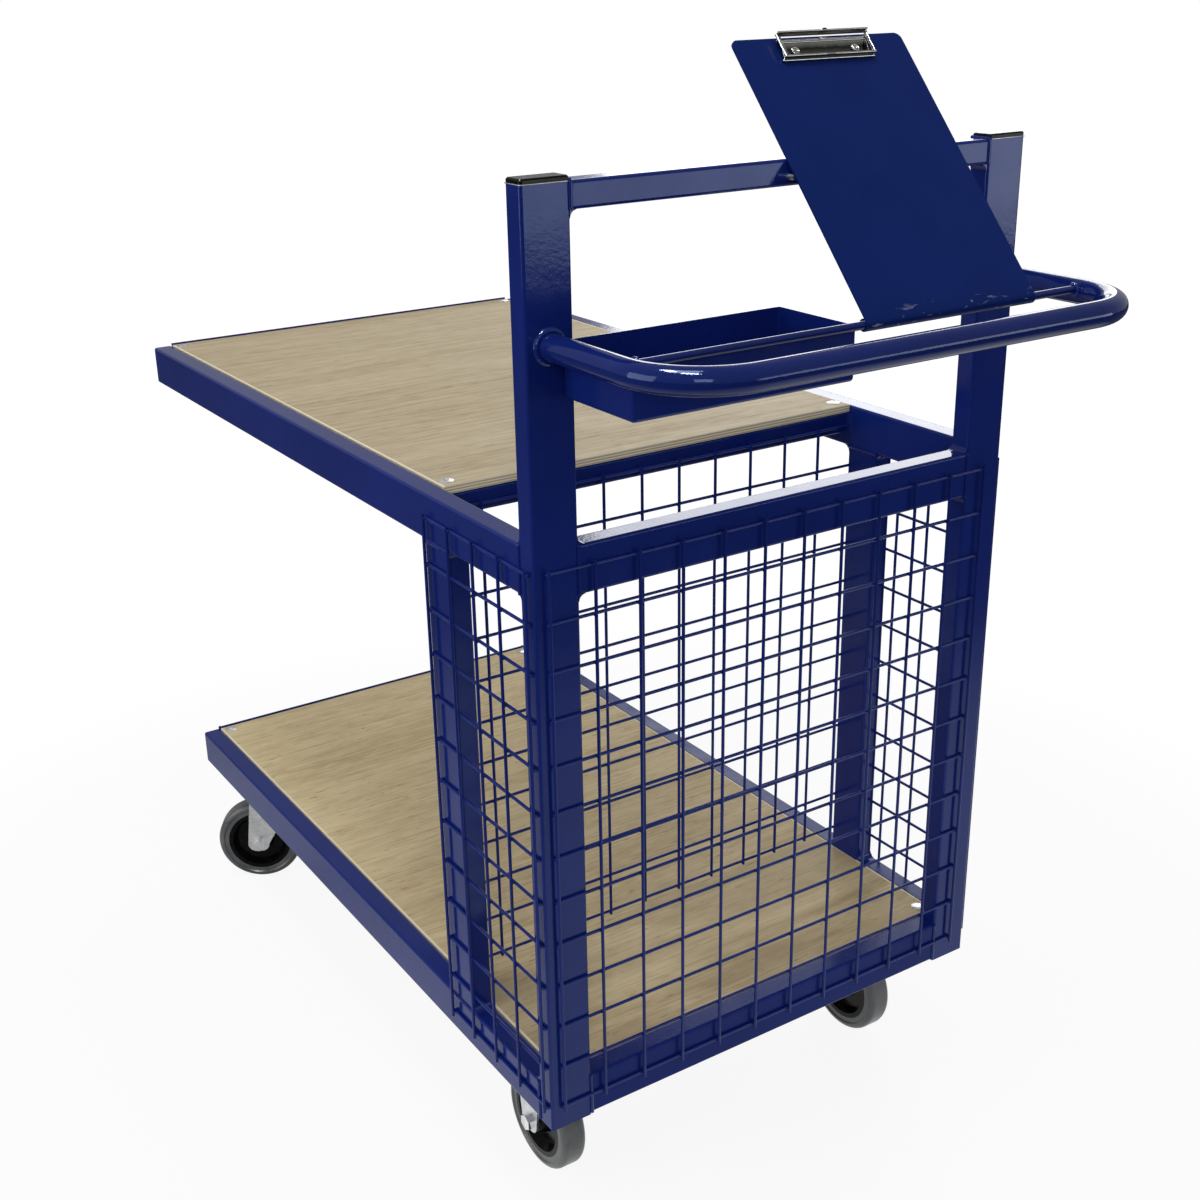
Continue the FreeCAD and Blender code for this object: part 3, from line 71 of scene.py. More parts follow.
ACROSS = (1.0, 0.0, 0.0)
AHEAD = (0.0, 1.0, 0.0)
BACK = (0.0, -1.0, 0.0)
UP = (0.0, 0.0, 1.0)
DOWN = (0.0, 0.0, -1.0)
SIGNS = (-1.0, 1.0)

# Most values of a noise pattern lie in this range.
NOISE_MIDDLE = (0.3, 0.7)


class Slot(Enum):
    """The record's material slots."""

    BLUE_PAINT = "blue_paint"
    PLYWOOD = "plywood"
    ZINC = "zinc"
    CHROME = "chrome"
    GREY_RUBBER = "grey_rubber"
    BLACK_PLASTIC = "black_plastic"


class Body(Enum):
    """The bodies that the new pieces ride on."""

    FRAME = "frame"
    CLIPBOARD = "clipboard"
    CLIP_LEVER = "clip_lever"


@dataclass(frozen=True)
class Pattern:
    """A noise pattern: repeats in each metre, octaves, how much finer along each axis, and distortion."""

    scale: float
    detail: float = 4.0
    stretch: Point | None = None
    twist: float = 0.0


class Graph:
    """The nodes of one material, read from Object coordinates."""

    def __init__(self, name: str) -> None:
        """Starts a material with one shader.

        Args:
            name: The material's name.
        """
        self.material = bpy.data.materials.new(name)
        self.material.use_nodes = True
        tree = self.material.node_tree
        tree.nodes.clear()
        self.nodes = tree.nodes
        self.links = tree.links
        self.output = self.nodes.new("ShaderNodeOutputMaterial")
        self.shader = self.nodes.new("ShaderNodeBsdfPrincipled")
        self.links.new(self.shader.outputs[0], self.output.inputs[0])
        self.place = self.nodes.new("ShaderNodeTexCoord").outputs["Object"]

    def put(self, socket: Socket, value: object) -> None:
        """Links a socket to another one, or sets it to a plain value.

        Args:
            socket: The input to fill.
            value: An output socket, a number or a colour.
        """
        if isinstance(value, Socket):
            self.links.new(value, socket)
        elif isinstance(value, tuple) and socket.type == "RGBA":
            socket.default_value = (*value, 1.0)
        else:
            socket.default_value = value

    def shade(self, **values: object) -> None:
        """Fills the shader's inputs, named with underscores for spaces."""
        for name, value in values.items():
            self.put(self.shader.inputs[name.replace("_", " ")], value)

    def stretched(self, scale: Point) -> Socket:
        """Gives the object's coordinates stretched along its axes.

        Args:
            scale: How much finer the pattern is along each axis.

        Returns:
            The stretched coordinates.
        """
        mapping = self.nodes.new("ShaderNodeMapping")
        mapping.inputs["Scale"].default_value = scale
        self.links.new(self.place, mapping.inputs["Vector"])
        return mapping.outputs[0]

    def noise(self, pattern: Pattern) -> Socket:
        """Adds a noise pattern.

        Args:
            pattern: The pattern's measures.

        Returns:
            The pattern's value, around one half.
        """
        node = self.nodes.new("ShaderNodeTexNoise")
        node.inputs["Scale"].default_value = pattern.scale
        node.inputs["Detail"].default_value = pattern.detail
        node.inputs["Distortion"].default_value = pattern.twist
        place = self.stretched(pattern.stretch) if pattern.stretch else self.place
        self.links.new(place, node.inputs["Vector"])
        return node.outputs["Fac"]

    def ramp(self, value: Socket, *stops: tuple[float, Colour]) -> Socket:
        """Turns a value into a colour.

        Args:
            value: The value, from 0 to 1.
            stops: Each place on the ramp with its colour.

        Returns:
            The colour.
        """
        node = self.nodes.new("ShaderNodeValToRGB")
        elements = node.color_ramp.elements
        while len(elements) < len(stops):
            elements.new(1.0)
        for element, (place, colour) in zip(elements, stops):
            element.position = place
            element.color = (*colour, 1.0)
        self.links.new(value, node.inputs[0])
        return node.outputs[0]

    def span(self, value: Socket, low: float, high: float, new_low: float, new_high: float) -> Socket:
        """Maps a value from one range to another and clamps it.

        Args:
            value: The value.
            low: The start of the old range.
            high: The end of the old range.
            new_low: The start of the new range.
            new_high: The end of the new range.

        Returns:
            The mapped value.
        """
        node = self.nodes.new("ShaderNodeMapRange")
        for socket, number in zip(node.inputs[1:5], (low, high, new_low, new_high)):
            socket.default_value = number
        self.links.new(value, node.inputs[0])
        return node.outputs[0]

    def sums(self, operation: str, first: object, second: object) -> Socket:
        """Adds a Math node.

        Args:
            operation: The node's operation.
            first: Its first value or socket.
            second: Its second value or socket.

        Returns:
            The result.
        """
        node = self.nodes.new("ShaderNodeMath")
        node.operation = operation
        self.put(node.inputs[0], first)
        self.put(node.inputs[1], second)
        return node.outputs[0]

    def reach(self, middle: Point) -> Socket:
        """Gives the distance from a point.

        Args:
            middle: The point, in the object's coordinates.

        Returns:
            The distance in metres.
        """
        node = self.nodes.new("ShaderNodeVectorMath")
        node.operation = "DISTANCE"
        node.inputs[1].default_value = middle
        self.links.new(self.place, node.inputs[0])
        return node.outputs["Value"]

    def mix(self, share: object, first: object, second: object) -> Socket:
        """Mixes two colours.

        Args:
            share: The second colour's share.
            first: A colour or its socket.
            second: A colour or its socket.

        Returns:
            The mixed colour.
        """
        node = self.nodes.new("ShaderNodeMix")
        node.data_type = "RGBA"
        # Inputs 6 and 7 are the node's colours, and output 2 is the mixed one.
        self.put(node.inputs[0], share)
        self.put(node.inputs[6], first)
        self.put(node.inputs[7], second)
        return node.outputs[2]

    def facing(self, axis: str) -> Socket:
        """Gives one part of the surface's own direction in the part's frame.

        Args:
            axis: X, Y or Z.

        Returns:
            The direction's part along that axis, from -1 to 1.
        """
        geometry = self.nodes.new("ShaderNodeNewGeometry")
        parts = self.nodes.new("ShaderNodeSeparateXYZ")
        self.links.new(geometry.outputs["Normal"], parts.inputs[0])
        return parts.outputs[axis]

    def along(self, axis: str) -> Socket:
        """Gives one of the object's coordinates.

        Args:
            axis: X, Y or Z.

        Returns:
            The coordinate in metres.
        """
        parts = self.nodes.new("ShaderNodeSeparateXYZ")
        self.links.new(self.place, parts.inputs[0])
        return parts.outputs[axis]

    def bump(self, *layers: tuple[Socket, float, float]) -> None:
        """Lays bumps over each other and gives them to the shader.

        Args:
            layers: Each height with its strength and its depth in metres.
        """
        below = None
        for height, strength, depth in layers:
            node = self.nodes.new("ShaderNodeBump")
            node.inputs["Strength"].default_value = strength
            node.inputs["Distance"].default_value = depth
            self.links.new(height, node.inputs["Height"])
            if below:
                self.links.new(below, node.inputs["Normal"])
            below = node.outputs[0]
        self.links.new(below, self.shader.inputs["Normal"])


@dataclass(frozen=True)
class PowderCoat:
    """Glossy deep blue powder coat with orange peel and a little dust."""

    name: str = "blue_powder_coat"
    deep: Colour = (0.0052, 0.0155, 0.138)
    bright: Colour = (0.0066, 0.0185, 0.168)
    dust: Colour = (0.060, 0.072, 0.170)
    scuff: Colour = (0.240, 0.260, 0.360)
    gloss_tint: Colour = (0.56, 0.69, 1.00)
    gloss: Range = (0.10, 0.18)
    gloss_level: float = 0.34
    scuffed_up: Range | None = None
    cloud: Pattern = Pattern(7.0, 3.0)
    speck: Pattern = Pattern(420.0, 2.0)
    speck_range: Range = (0.70, 0.78)
    speck_share: float = 0.40
    scrape: Pattern = Pattern(1.0, 5.0, (60.0, 190.0, 190.0), 0.5)
    scrape_range: Range = (0.62, 0.68)
    scrape_share: float = 0.8
    sheen: Pattern = Pattern(24.0, 4.0)
    peel: Pattern = Pattern(260.0, 2.0)
    peel_bump: Range = (0.16, 0.0005)
    wave: Pattern = Pattern(30.0, 2.0)
    wave_bump: Range = (0.07, 0.002)

    def make(self) -> Material:
        """Builds the paint, with scuffs in the range of heights that it has them in.

        Returns:
            The material.
        """
        graph = Graph(self.name)
        base = graph.ramp(graph.noise(self.cloud), *zip(NOISE_MIDDLE, (self.deep, self.bright)))
        specks = graph.span(graph.noise(self.speck), *self.speck_range, 0.0, self.speck_share)
        base = graph.mix(specks, base, self.dust)
        if self.scuffed_up:
            scrapes = graph.span(graph.noise(self.scrape), *self.scrape_range, 0.0, self.scrape_share)
            near = graph.span(graph.along("Z"), *self.scuffed_up, 1.0, 0.0)
            base = graph.mix(graph.sums("MULTIPLY", scrapes, near), base, self.scuff)
        graph.shade(
            Base_Color=base,
            Roughness=graph.span(graph.noise(self.sheen), *NOISE_MIDDLE, *self.gloss),
            Specular_IOR_Level=self.gloss_level,
            Specular_Tint=self.gloss_tint,
        )
        graph.bump((graph.noise(self.peel), *self.peel_bump), (graph.noise(self.wave), *self.wave_bump))
        return graph.material


@dataclass(frozen=True)
class Plywood:
    """Tan plywood with its grain across the deck, dark flecks, patchy stains and painted shade that darkens
    the board towards its rear, and pale raw edges.
    """

    name: str = "plywood"
    pale: Colour = (0.560, 0.470, 0.318)
    mid: Colour = (0.480, 0.395, 0.256)
    dark: Colour = (0.385, 0.296, 0.172)
    fleck: Colour = (0.120, 0.076, 0.040)
    edge: Colour = (0.860, 0.790, 0.600)
    glue: Colour = (0.520, 0.430, 0.280)
    stain_and_shade: Colour = (0.270, 0.196, 0.104)
    broad: Pattern = Pattern(1.0, 4.0, (1.3, 13.0, 13.0), 0.5)
    streak: Pattern = Pattern(1.0, 6.0, (9.0, 330.0, 330.0), 0.4)
    mottle: Pattern = Pattern(70.0, 6.0, (0.5, 1.0, 1.0), 0.4)
    grain_shares: tuple[float, float, float] = (0.30, 0.46, 0.24)
    grain_stops: tuple[float, float, float] = (0.38, 0.49, 0.60)
    stain_and_shade_cloud: Pattern = Pattern(1.0, 4.0, (4.0, 15.0, 15.0), 0.7)
    stain_and_shade_range: Range = (0.42, 0.64)
    stain_and_shade_shares: Range = (0.0, 0.08)
    shaded_along: Range = (0.25, -0.45)
    least_shade: float = 0.10
    long_fleck: Pattern = Pattern(1.0, 2.0, (34.0, 360.0, 360.0), 0.3)
    flecked: Range = (0.70, 0.75)
    fleck_share: float = 0.80
    half_width: float = 0.2745
    arris: float = 0.0022
    edge_facing: Range = (0.4, 0.7)
    layer: float = 0.0015
    glue_shares: Range = (0.35, 0.65)
    gloss: Range = (0.62, 0.50)
    gloss_level: float = 0.16
    streak_bump: Range = (0.20, 0.0004)
    fleck_bump: Range = (0.10, 0.0004)

    def face(self, graph: Graph, grain: Socket, flecks: Socket) -> Socket:
        """Colours the board's face: grain, patchy stains with painted shade towards the rear, flecks and
        the pale arris along its sides.

        Args:
            graph: The material's nodes.
            grain: The grain's value.
            flecks: The flecks' value.

        Returns:
            The face's colour.
        """
        colour = graph.ramp(grain, *zip(self.grain_stops, (self.dark, self.mid, self.pale)))
        # Stains and painted shade: patches that darken the board, more towards its rear.
        patches = graph.span(graph.noise(self.stain_and_shade_cloud), *self.stain_and_shade_range, *self.stain_and_shade_shares)
        painted_shade_share = graph.span(graph.along("Y"), *self.shaded_along, self.least_shade, 1.0)
        colour = graph.mix(graph.sums("MULTIPLY", patches, painted_shade_share), colour, self.stain_and_shade)
        colour = graph.mix(graph.span(flecks, *self.flecked, 0.0, self.fleck_share), colour, self.fleck)
        beside = graph.sums("ABSOLUTE", graph.along("X"), 0.0)
        start, end = self.half_width - self.arris, self.half_width - self.arris / 2
        return graph.mix(graph.span(beside, start, end, 0.0, 1.0), colour, self.edge)

    def plies(self, graph: Graph) -> Socket:
        """Colours the board's raw edge in layers.

        Args:
            graph: The material's nodes.

        Returns:
            The edge's colour.
        """
        band = graph.sums("PINGPONG", graph.along("Z"), self.layer)
        low, high = (share * self.layer for share in self.glue_shares)
        return graph.mix(graph.span(band, low, high, 0.0, 1.0), self.edge, self.glue)

    def make(self) -> Material:
        """Builds the wood.

        Returns:
            The material.
        """
        graph = Graph(self.name)
        streak = graph.noise(self.streak)
        flecks = graph.noise(self.long_fleck)
        layers = zip((graph.noise(self.broad), streak, graph.noise(self.mottle)), self.grain_shares)
        broad, fine, mottled = (graph.sums("MULTIPLY", layer, share) for layer, share in layers)
        grain = graph.sums("ADD", graph.sums("ADD", broad, fine), mottled)
        side = graph.span(graph.facing("Z"), *self.edge_facing, 1.0, 0.0)
        graph.shade(
            Base_Color=graph.mix(side, self.face(graph, grain, flecks), self.plies(graph)),
            Roughness=graph.span(grain, *NOISE_MIDDLE, *self.gloss),
            Specular_IOR_Level=self.gloss_level,
        )
        graph.bump((streak, *self.streak_bump), (flecks, *self.fleck_bump))
        return graph.material


@dataclass(frozen=True)
class ZincPlate:
    """Bright zinc plated steel with a faint crystalline cloud."""

    name: str = "zinc_plate"
    light: Colour = (0.78, 0.79, 0.80)
    grey: Colour = (0.62, 0.63, 0.645)
    gloss: Range = (0.24, 0.40)
    cloud: Pattern = Pattern(60.0, 5.0, twist=0.4)
    cloud_stops: Range = (0.35, 0.65)
    sheen: Pattern = Pattern(150.0, 3.0)
    grit: Pattern = Pattern(380.0, 3.0)
    grit_bump: Range = (0.08, 0.0003)

    def make(self) -> Material:
        """Builds the plating.

        Returns:
            The material.
        """
        graph = Graph(self.name)
        graph.shade(
            Base_Color=graph.ramp(graph.noise(self.cloud), *zip(self.cloud_stops, (self.grey, self.light))),
            Metallic=1.0,
            Roughness=graph.span(graph.noise(self.sheen), *NOISE_MIDDLE, *self.gloss),
        )
        graph.bump((graph.noise(self.grit), *self.grit_bump))
        return graph.material


@dataclass(frozen=True)
class Chrome:
    """Polished chrome with painted reflections: dark, middle and bright bands painted by the surface's
    direction, with faint cloudy rubbing marks.
    """

    name: str = "chrome"
    bright: Colour = (0.92, 0.92, 0.90)
    middle: Colour = (0.36, 0.36, 0.34)
    dark: Colour = (0.028, 0.028, 0.026)
    gloss: Range = (0.06, 0.16)
    reflection_band_stops: tuple[float, ...] = (0.05, 0.30, 0.42, 0.58, 0.72, 0.86, 0.94, 1.00)
    rub: Pattern = Pattern(130.0, 4.0, twist=0.6)
    rub_range: Range = (0.3, 0.8)
    rub_bump: Range = (0.03, 0.0003)
    waviness: float = 0.06

    def make(self) -> Material:
        """Builds the chrome, whose painted reflection bands follow the surface's own direction.

        Returns:
            The material.
        """
        graph = Graph(self.name)
        rub = graph.noise(self.rub)
        # Painted reflection: the base colour is banded dark, middle and bright by how far the surface faces
        # up.
        turn = graph.span(graph.facing("Z"), -1.0, 1.0, 0.0, 1.0)
        reflection_band = graph.sums("ADD", turn, graph.sums("MULTIPLY", rub, self.waviness))
        dark, middle, bright = self.dark, self.middle, self.bright
        reflection_tones = (dark, middle, dark, bright, dark, middle, bright, dark)
        graph.shade(
            Base_Color=graph.ramp(reflection_band, *zip(self.reflection_band_stops, reflection_tones)),
            Metallic=1.0,
            Roughness=graph.span(rub, *self.rub_range, *self.gloss),
        )
        graph.bump((rub, *self.rub_bump))
        return graph.material


@dataclass(frozen=True)
class GreyRubber:
    """Matt grey rubber with a dusty bloom."""

    grey: Colour = (0.072, 0.080, 0.083)
    bloom: Colour = (0.120, 0.128, 0.130)
    gloss: Range = (0.24, 0.40)
    gloss_level: float = 0.50
    cloud: Pattern = Pattern(38.0, 5.0)
    cloud_stops: Range = (0.35, 0.75)
    grit: Pattern = Pattern(700.0, 3.0)
    grit_bump: Range = (0.16, 0.0003)

    def make(self) -> Material:
        """Builds the rubber.

        Returns:
            The material.
        """
        graph = Graph("grey_rubber")
        cloud = graph.noise(self.cloud)
        graph.shade(
            Base_Color=graph.ramp(cloud, *zip(self.cloud_stops, (self.grey, self.bloom))),
            Roughness=graph.span(cloud, *NOISE_MIDDLE, *self.gloss),
            Specular_IOR_Level=self.gloss_level,
        )
        graph.bump((graph.noise(self.grit), *self.grit_bump))
        return graph.material


@dataclass(frozen=True)
class BlackPlastic:
    """Glossy moulded black plastic with a fine spark texture."""

    black: Colour = (0.0022, 0.0022, 0.0025)
    worn: Colour = (0.0065, 0.0065, 0.0070)
    gloss: Range = (0.12, 0.22)
    gloss_level: float = 0.10
    wear: Pattern = Pattern(90.0, 4.0)
    wear_stops: Range = (0.4, 0.8)
    sheen: Pattern = Pattern(45.0, 3.0)
    spark: Pattern = Pattern(900.0, 2.0)
    spark_bump: Range = (0.10, 0.0002)

    def make(self) -> Material:
        """Builds the plastic.

        Returns:
            The material.
        """
        graph = Graph("black_plastic")
        graph.shade(
            Base_Color=graph.ramp(graph.noise(self.wear), *zip(self.wear_stops, (self.black, self.worn))),
            Roughness=graph.span(graph.noise(self.sheen), *NOISE_MIDDLE, *self.gloss),
            Specular_IOR_Level=self.gloss_level,
        )
        graph.bump((graph.noise(self.spark), *self.spark_bump))
        return graph.material


class Bench:
    """Runs the modelling operators on one piece at a time."""

    # Corners of a mesh that lie nearer to each other than this, in metres, become one.
    MERGE_REACH = 1e-6

    @staticmethod
    def clear() -> None:
        """Leaves nothing selected."""
        bpy.ops.object.select_all(action="DESELECT")

    @staticmethod
    def only(piece: Piece) -> None:
        """Selects one piece alone and makes it the active one.

        Args:
            piece: The piece to work on.
        """
        Bench.clear()
        piece.select_set(True)
        bpy.context.view_layer.objects.active = piece

    @staticmethod
    def named(name: str) -> Piece:
        """Names the active piece, such as the primitive just added, and its mesh.

        Args:
            name: The new name.

        Returns:
            The piece.
        """
        piece = bpy.context.active_object
        piece.name = name
        piece.data.name = name
        return piece

    @staticmethod
    def applied(name: str) -> Piece:
        """Names the primitive just added and moves its place into its mesh.

        Args:
            name: The new name.

        Returns:
            The piece.
        """
        piece = Bench.named(name)
        bpy.ops.object.transform_apply()
        return piece

    @staticmethod
    def edit(piece: Piece) -> None:
        """Opens a piece in edit mode with nothing of it selected.

        Args:
            piece: The piece to shape.
        """
        Bench.only(piece)
        bpy.ops.object.mode_set(mode="EDIT")
        bpy.ops.mesh.select_all(action="DESELECT")

    @staticmethod
    def leave() -> None:
        """Leaves edit mode."""
        bpy.ops.object.mode_set(mode="OBJECT")

    @staticmethod
    def mend() -> None:
        """Merges doubles and turns all faces outwards, in edit mode."""
        bpy.ops.mesh.select_all(action="SELECT")
        bpy.ops.mesh.remove_doubles(threshold=Bench.MERGE_REACH)
        bpy.ops.mesh.normals_make_consistent(inside=False)

    @staticmethod
    def smooth(piece: Piece, angle: float) -> None:
        """Shades a piece smooth.

        Args:
            piece: The piece.
            angle: The largest angle between two faces that is smoothed, in degrees.
        """
        Bench.only(piece)
        bpy.ops.object.shade_smooth_by_angle(angle=math.radians(angle))

    @staticmethod
    def mended(piece: Piece, angle: float) -> None:
        """Mends a piece that was put together from others, and shades it smooth.

        Args:
            piece: The piece.
            angle: The largest angle between two faces that is smoothed, in degrees.
        """
        Bench.edit(piece)
        Bench.mend()
        Bench.leave()
        Bench.smooth(piece, angle)

    @staticmethod
    def modify(piece: Piece, kind: str, **settings: object) -> None:
        """Adds one modifier with its settings and applies it.

        Args:
            piece: The piece to change.
            kind: The modifier's type.
            settings: Its settings.
        """
        modifier = piece.modifiers.new(kind.lower(), kind)
        for name, value in settings.items():
            setattr(modifier, name, value)
        Bench.only(piece)
        bpy.ops.object.modifier_apply(modifier=modifier.name)

    @staticmethod
    def cut(piece: Piece, cutter: Piece) -> None:
        """Cuts one piece with another and removes the cutter.

        Args:
            piece: The piece to change.
            cutter: The piece that is taken away from it.
        """
        Bench.modify(piece, "BOOLEAN", operation="DIFFERENCE", object=cutter, solver="EXACT")
        bpy.data.objects.remove(cutter)

    @staticmethod
    def joined(pieces: Sequence[Piece], name: str) -> Piece:
        """Joins pieces into the first of them and names it.

        Args:
            pieces: The pieces.
            name: The joined piece's name.

        Returns:
            The joined piece.
        """
        Bench.clear()
        for piece in pieces:
            piece.select_set(True)
        bpy.context.view_layer.objects.active = pieces[0]
        if len(pieces) > 1:
            bpy.ops.object.join()
        return Bench.named(name)

    @staticmethod
    def copies(pattern: Piece, places: Iterable[Matrix], name: str) -> Piece:
        """Copies a pattern piece to many places, joins the copies and removes the pattern.

        Args:
            pattern: The piece modelled once.
            places: Where each copy goes.
            name: The joined piece's name.

        Returns:
            The joined piece, with its place in its mesh.
        """
        made = []
        for place in places:
            copy = pattern.copy()
            copy.data = pattern.data.copy()
            copy.data.transform(place @ pattern.matrix_world)
            copy.matrix_world = Matrix.Identity(4)
            bpy.context.collection.objects.link(copy)
            made.append(copy)
        piece = Bench.joined(made, name)
        bpy.data.objects.remove(pattern)
        return piece

    @staticmethod
    def dress(piece: Piece, finish: Material, body: Body, slot: Slot) -> None:
        """Gives a piece its finish and its body.

        Args:
            piece: The finished piece.
            finish: Its material.
            body: The body that it rides on.
            slot: The record's material slot; not used.
        """
        piece.data.materials.clear()
        piece.data.materials.append(finish)
        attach(piece, body.value)
        LOG.info("%s rides on %s", piece.name, body.value)


def turned(across: Direction, along: Direction, up: Direction, corner: Sequence[float]) -> Matrix:
    """Makes the matrix that lays a pattern's axes on three directions at a corner.

    Args:
        across: Where the pattern's X axis goes.
        along: Where its Y axis goes.
        up: Where its Z axis goes.
        corner: Where its origin goes.

    Returns:
        The matrix.
    """
    axes = Matrix((across, along, up)).transposed().to_4x4()
    return Matrix.Translation(corner) @ axes


@dataclass
class Welds:
    """Weld metal of the painted frame: corner fillets, rippled seams, rings and the tray's tack."""

    finish: Material
    leg: float = 0.0072
    fillet_depth: float = 0.0225
    hollow_sides: int = 48
    hollow_share: float = 0.985
    section: float = 0.025
    bead: float = 0.0023
    bead_sides: int = 8
    start_share: float = 0.6
    start_swell: float = 1.45
    ripple: float = 0.0018
    ripple_swell: float = 1.16
    least_ripples: int = 2
    length_digits: int = 4
    ring_sides: int = 10
    ring_steps: int = 66
    ring_ripple_steps: int = 3
    ring_swell_share: float = 0.12
    handle_ring_gap: float = 0.0016
    handle_ring_bead: float = 0.0033
    rod_ring_gap: float = 0.0008
    rod_ring_bead: float = 0.0019
    tray_tack_share: float = 0.4
    smooth_angle: float = 50.0

    def fillet(self) -> Piece:
        """Models one hollow corner fillet with its legs on X and Z and its depth along Y.

        Returns:
            The fillet.
        """
        Bench.clear()
        bpy.ops.mesh.primitive_cube_add(
            size=1.0,
            location=(self.leg / 2, self.section / 2, self.leg / 2),
            scale=(self.leg, self.fillet_depth, self.leg),
        )
        block = Bench.applied("fillet_pattern")
        Bench.clear()
        bpy.ops.mesh.primitive_cylinder_add(
            vertices=self.hollow_sides,
            radius=self.leg * self.hollow_share,
            depth=self.section * 2,
            location=(self.leg, self.section / 2, self.leg),
            rotation=(math.pi / 2, 0.0, 0.0),
        )
        Bench.cut(block, Bench.named("fillet_cutter"))
        return block

    def seam(self, length: float) -> Piece:
        """Models one rippled seam that runs along X from the origin.

        Args:
            length: The seam's length.

        Returns:
            The seam.
        """
        Bench.clear()
        bpy.ops.mesh.primitive_circle_add(
            vertices=self.bead_sides,
            radius=self.bead * self.start_share,
            fill_type="NGON",
            rotation=(0.0, math.pi / 2, 0.0),
        )
        piece = Bench.applied("seam_pattern")
        Bench.edit(piece)
        bpy.ops.mesh.select_all(action="SELECT")
        ripples = max(self.least_ripples, round(length / self.ripple))
        step = length / (2 * ripples)
        for index in range(2 * ripples):
            bpy.ops.mesh.extrude_region_move(TRANSFORM_OT_translate={"value": (step, 0.0, 0.0)})
            grow = self.ripple_swell if index % 2 == 0 else 1.0 / self.ripple_swell
            grow *= self.start_swell if index == 0 else 1.0
            here = (step * (index + 1), 0.0, 0.0)
            bpy.ops.transform.resize(value=(1.0, grow, grow), center_override=here)
        Bench.mend()
        Bench.leave()
        return piece

    def ring(self, radius: float, bead: float) -> Piece:
        """Models one rippled ring round the Z axis.

        Args:
            radius: From the axis to the middle of the weld metal.
            bead: The weld metal's own radius.

        Returns:
            The ring.
        """
        Bench.clear()
        bpy.ops.mesh.primitive_torus_add(
            major_segments=self.ring_steps,
            minor_segments=self.ring_sides,
            major_radius=radius,
            minor_radius=bead,
        )
        piece = Bench.named("ring_pattern")
        Bench.edit(piece)
        net = bmesh.from_edit_mesh(piece.data)
        for vertex in net.verts:
            turn = math.atan2(vertex.co.y, vertex.co.x) * self.ring_steps / math.tau
            vertex.select_set(round(turn) % self.ring_ripple_steps == 0)
        net.select_flush(True)
        bmesh.update_edit_mesh(piece.data)
        bpy.ops.transform.shrink_fatten(value=bead * self.ring_swell_share)
        Bench.leave()
        return piece

    def corners(self) -> list[Matrix]:
        """Finds the corners of the frame that have a fillet.

        Returns:
            The place of every fillet.
        """
        places = []
        for sign in SIGNS:
            side = "left" if sign < 0 else "right"
            inward = (-sign, 0.0, 0.0)
            for node, upright in (("top_rail", DOWN), ("rear_rail", DOWN), ("rear_rail", UP)):
                low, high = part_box(node)
                corner = (sign * high.x, low.y, high.z if upright == UP else low.z)
                places.append(turned(inward, AHEAD, upright, corner))
            low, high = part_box("upper_cross_bar")
            places.append(turned(inward, UP, BACK, (sign * high.x, low.y, low.z)))
            low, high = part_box(f"middle_{side}_post")
            for edge, way in ((low.y, BACK), (high.y, AHEAD)):
                for height, upright in ((low.z, UP), (high.z, DOWN)):
                    places.append(turned(way, ACROSS, upright, (low.x, edge, height)))
            for node in (f"lower_{side}_rail", f"upper_{side}_rail"):
                low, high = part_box(node)
                places.append(turned(AHEAD, ACROSS, UP, (low.x, low.y, high.z)))
            low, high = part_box(f"upper_{side}_rail")
            places.append(turned(AHEAD, ACROSS, DOWN, (low.x, low.y, low.z)))
        return places

    @staticmethod
    def line(start: Point, **moved: float) -> tuple[Vector, Vector]:
        """Gives the ends of one straight seam.

        Args:
            start: Its first end.
            moved: The coordinate that differs at its other end.

        Returns:
            Both ends.
        """
        first = Vector(start)
        last = first.copy()
        for axis, value in moved.items():
            setattr(last, axis, value)
        return first, last

    def lines(self) -> list[tuple[Vector, Vector]]:
        """Finds the edges of the frame that have a seam, and the tack that holds the tray.

        Returns:
            The ends of every seam.
        """
        ends = []
        for sign in SIGNS:
            side = "left" if sign < 0 else "right"
            for node in ("top_rail", "rear_rail", "lower_rear_bar"):
                low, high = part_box(node)
                for depth in (low.y, high.y):
                    ends.append(self.line((sign * high.x, depth, low.z), z=high.z))
            low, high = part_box("top_rail")
            ends.append(self.line((sign * high.x, low.y, high.z), y=high.y))
            for node in (f"lower_{side}_rail", f"upper_{side}_rail"):
                low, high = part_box(node)
                outer = high.x if sign > 0 else low.x
                ends.append(self.line((outer, low.y, low.z), z=high.z))
            low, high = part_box(f"middle_{side}_post")
            for height in (low.z, high.z):
                for edge in (low.x, high.x):
                    ends.append(self.line((edge, low.y, height), y=high.y))
            low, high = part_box("lower_front_bar")
            ends.append(self.line((sign * high.x, high.y, low.z), z=high.z))
            low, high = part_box("lower_ledge_bar")
            ends.append(self.line((sign * high.x, low.y, low.z), y=high.y))
        low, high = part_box("tray")
        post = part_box("rear_left_post")[1]
        foot = low.z + self.section * self.tray_tack_share
        ends.append(self.line((post.x, high.y, foot), z=foot + self.section))
        return ends

    def seams(self) -> Piece:
        """Models one seam of each length and copies it to its lines.

        Returns:
            All the seams as one piece.
        """
        by_length: dict[float, list[Matrix]] = {}
        for start, end in self.lines():
            way = (end - start).normalized()
            beside = way.orthogonal().normalized()
            length = round((end - start).length, self.length_digits)
            place = turned(way, beside, way.cross(beside), start)
            by_length.setdefault(length, []).append(place)
        rows = [Bench.copies(self.seam(length), places, "seam_row") for length, places in by_length.items()]
        return Bench.joined(rows, "weld_seams")

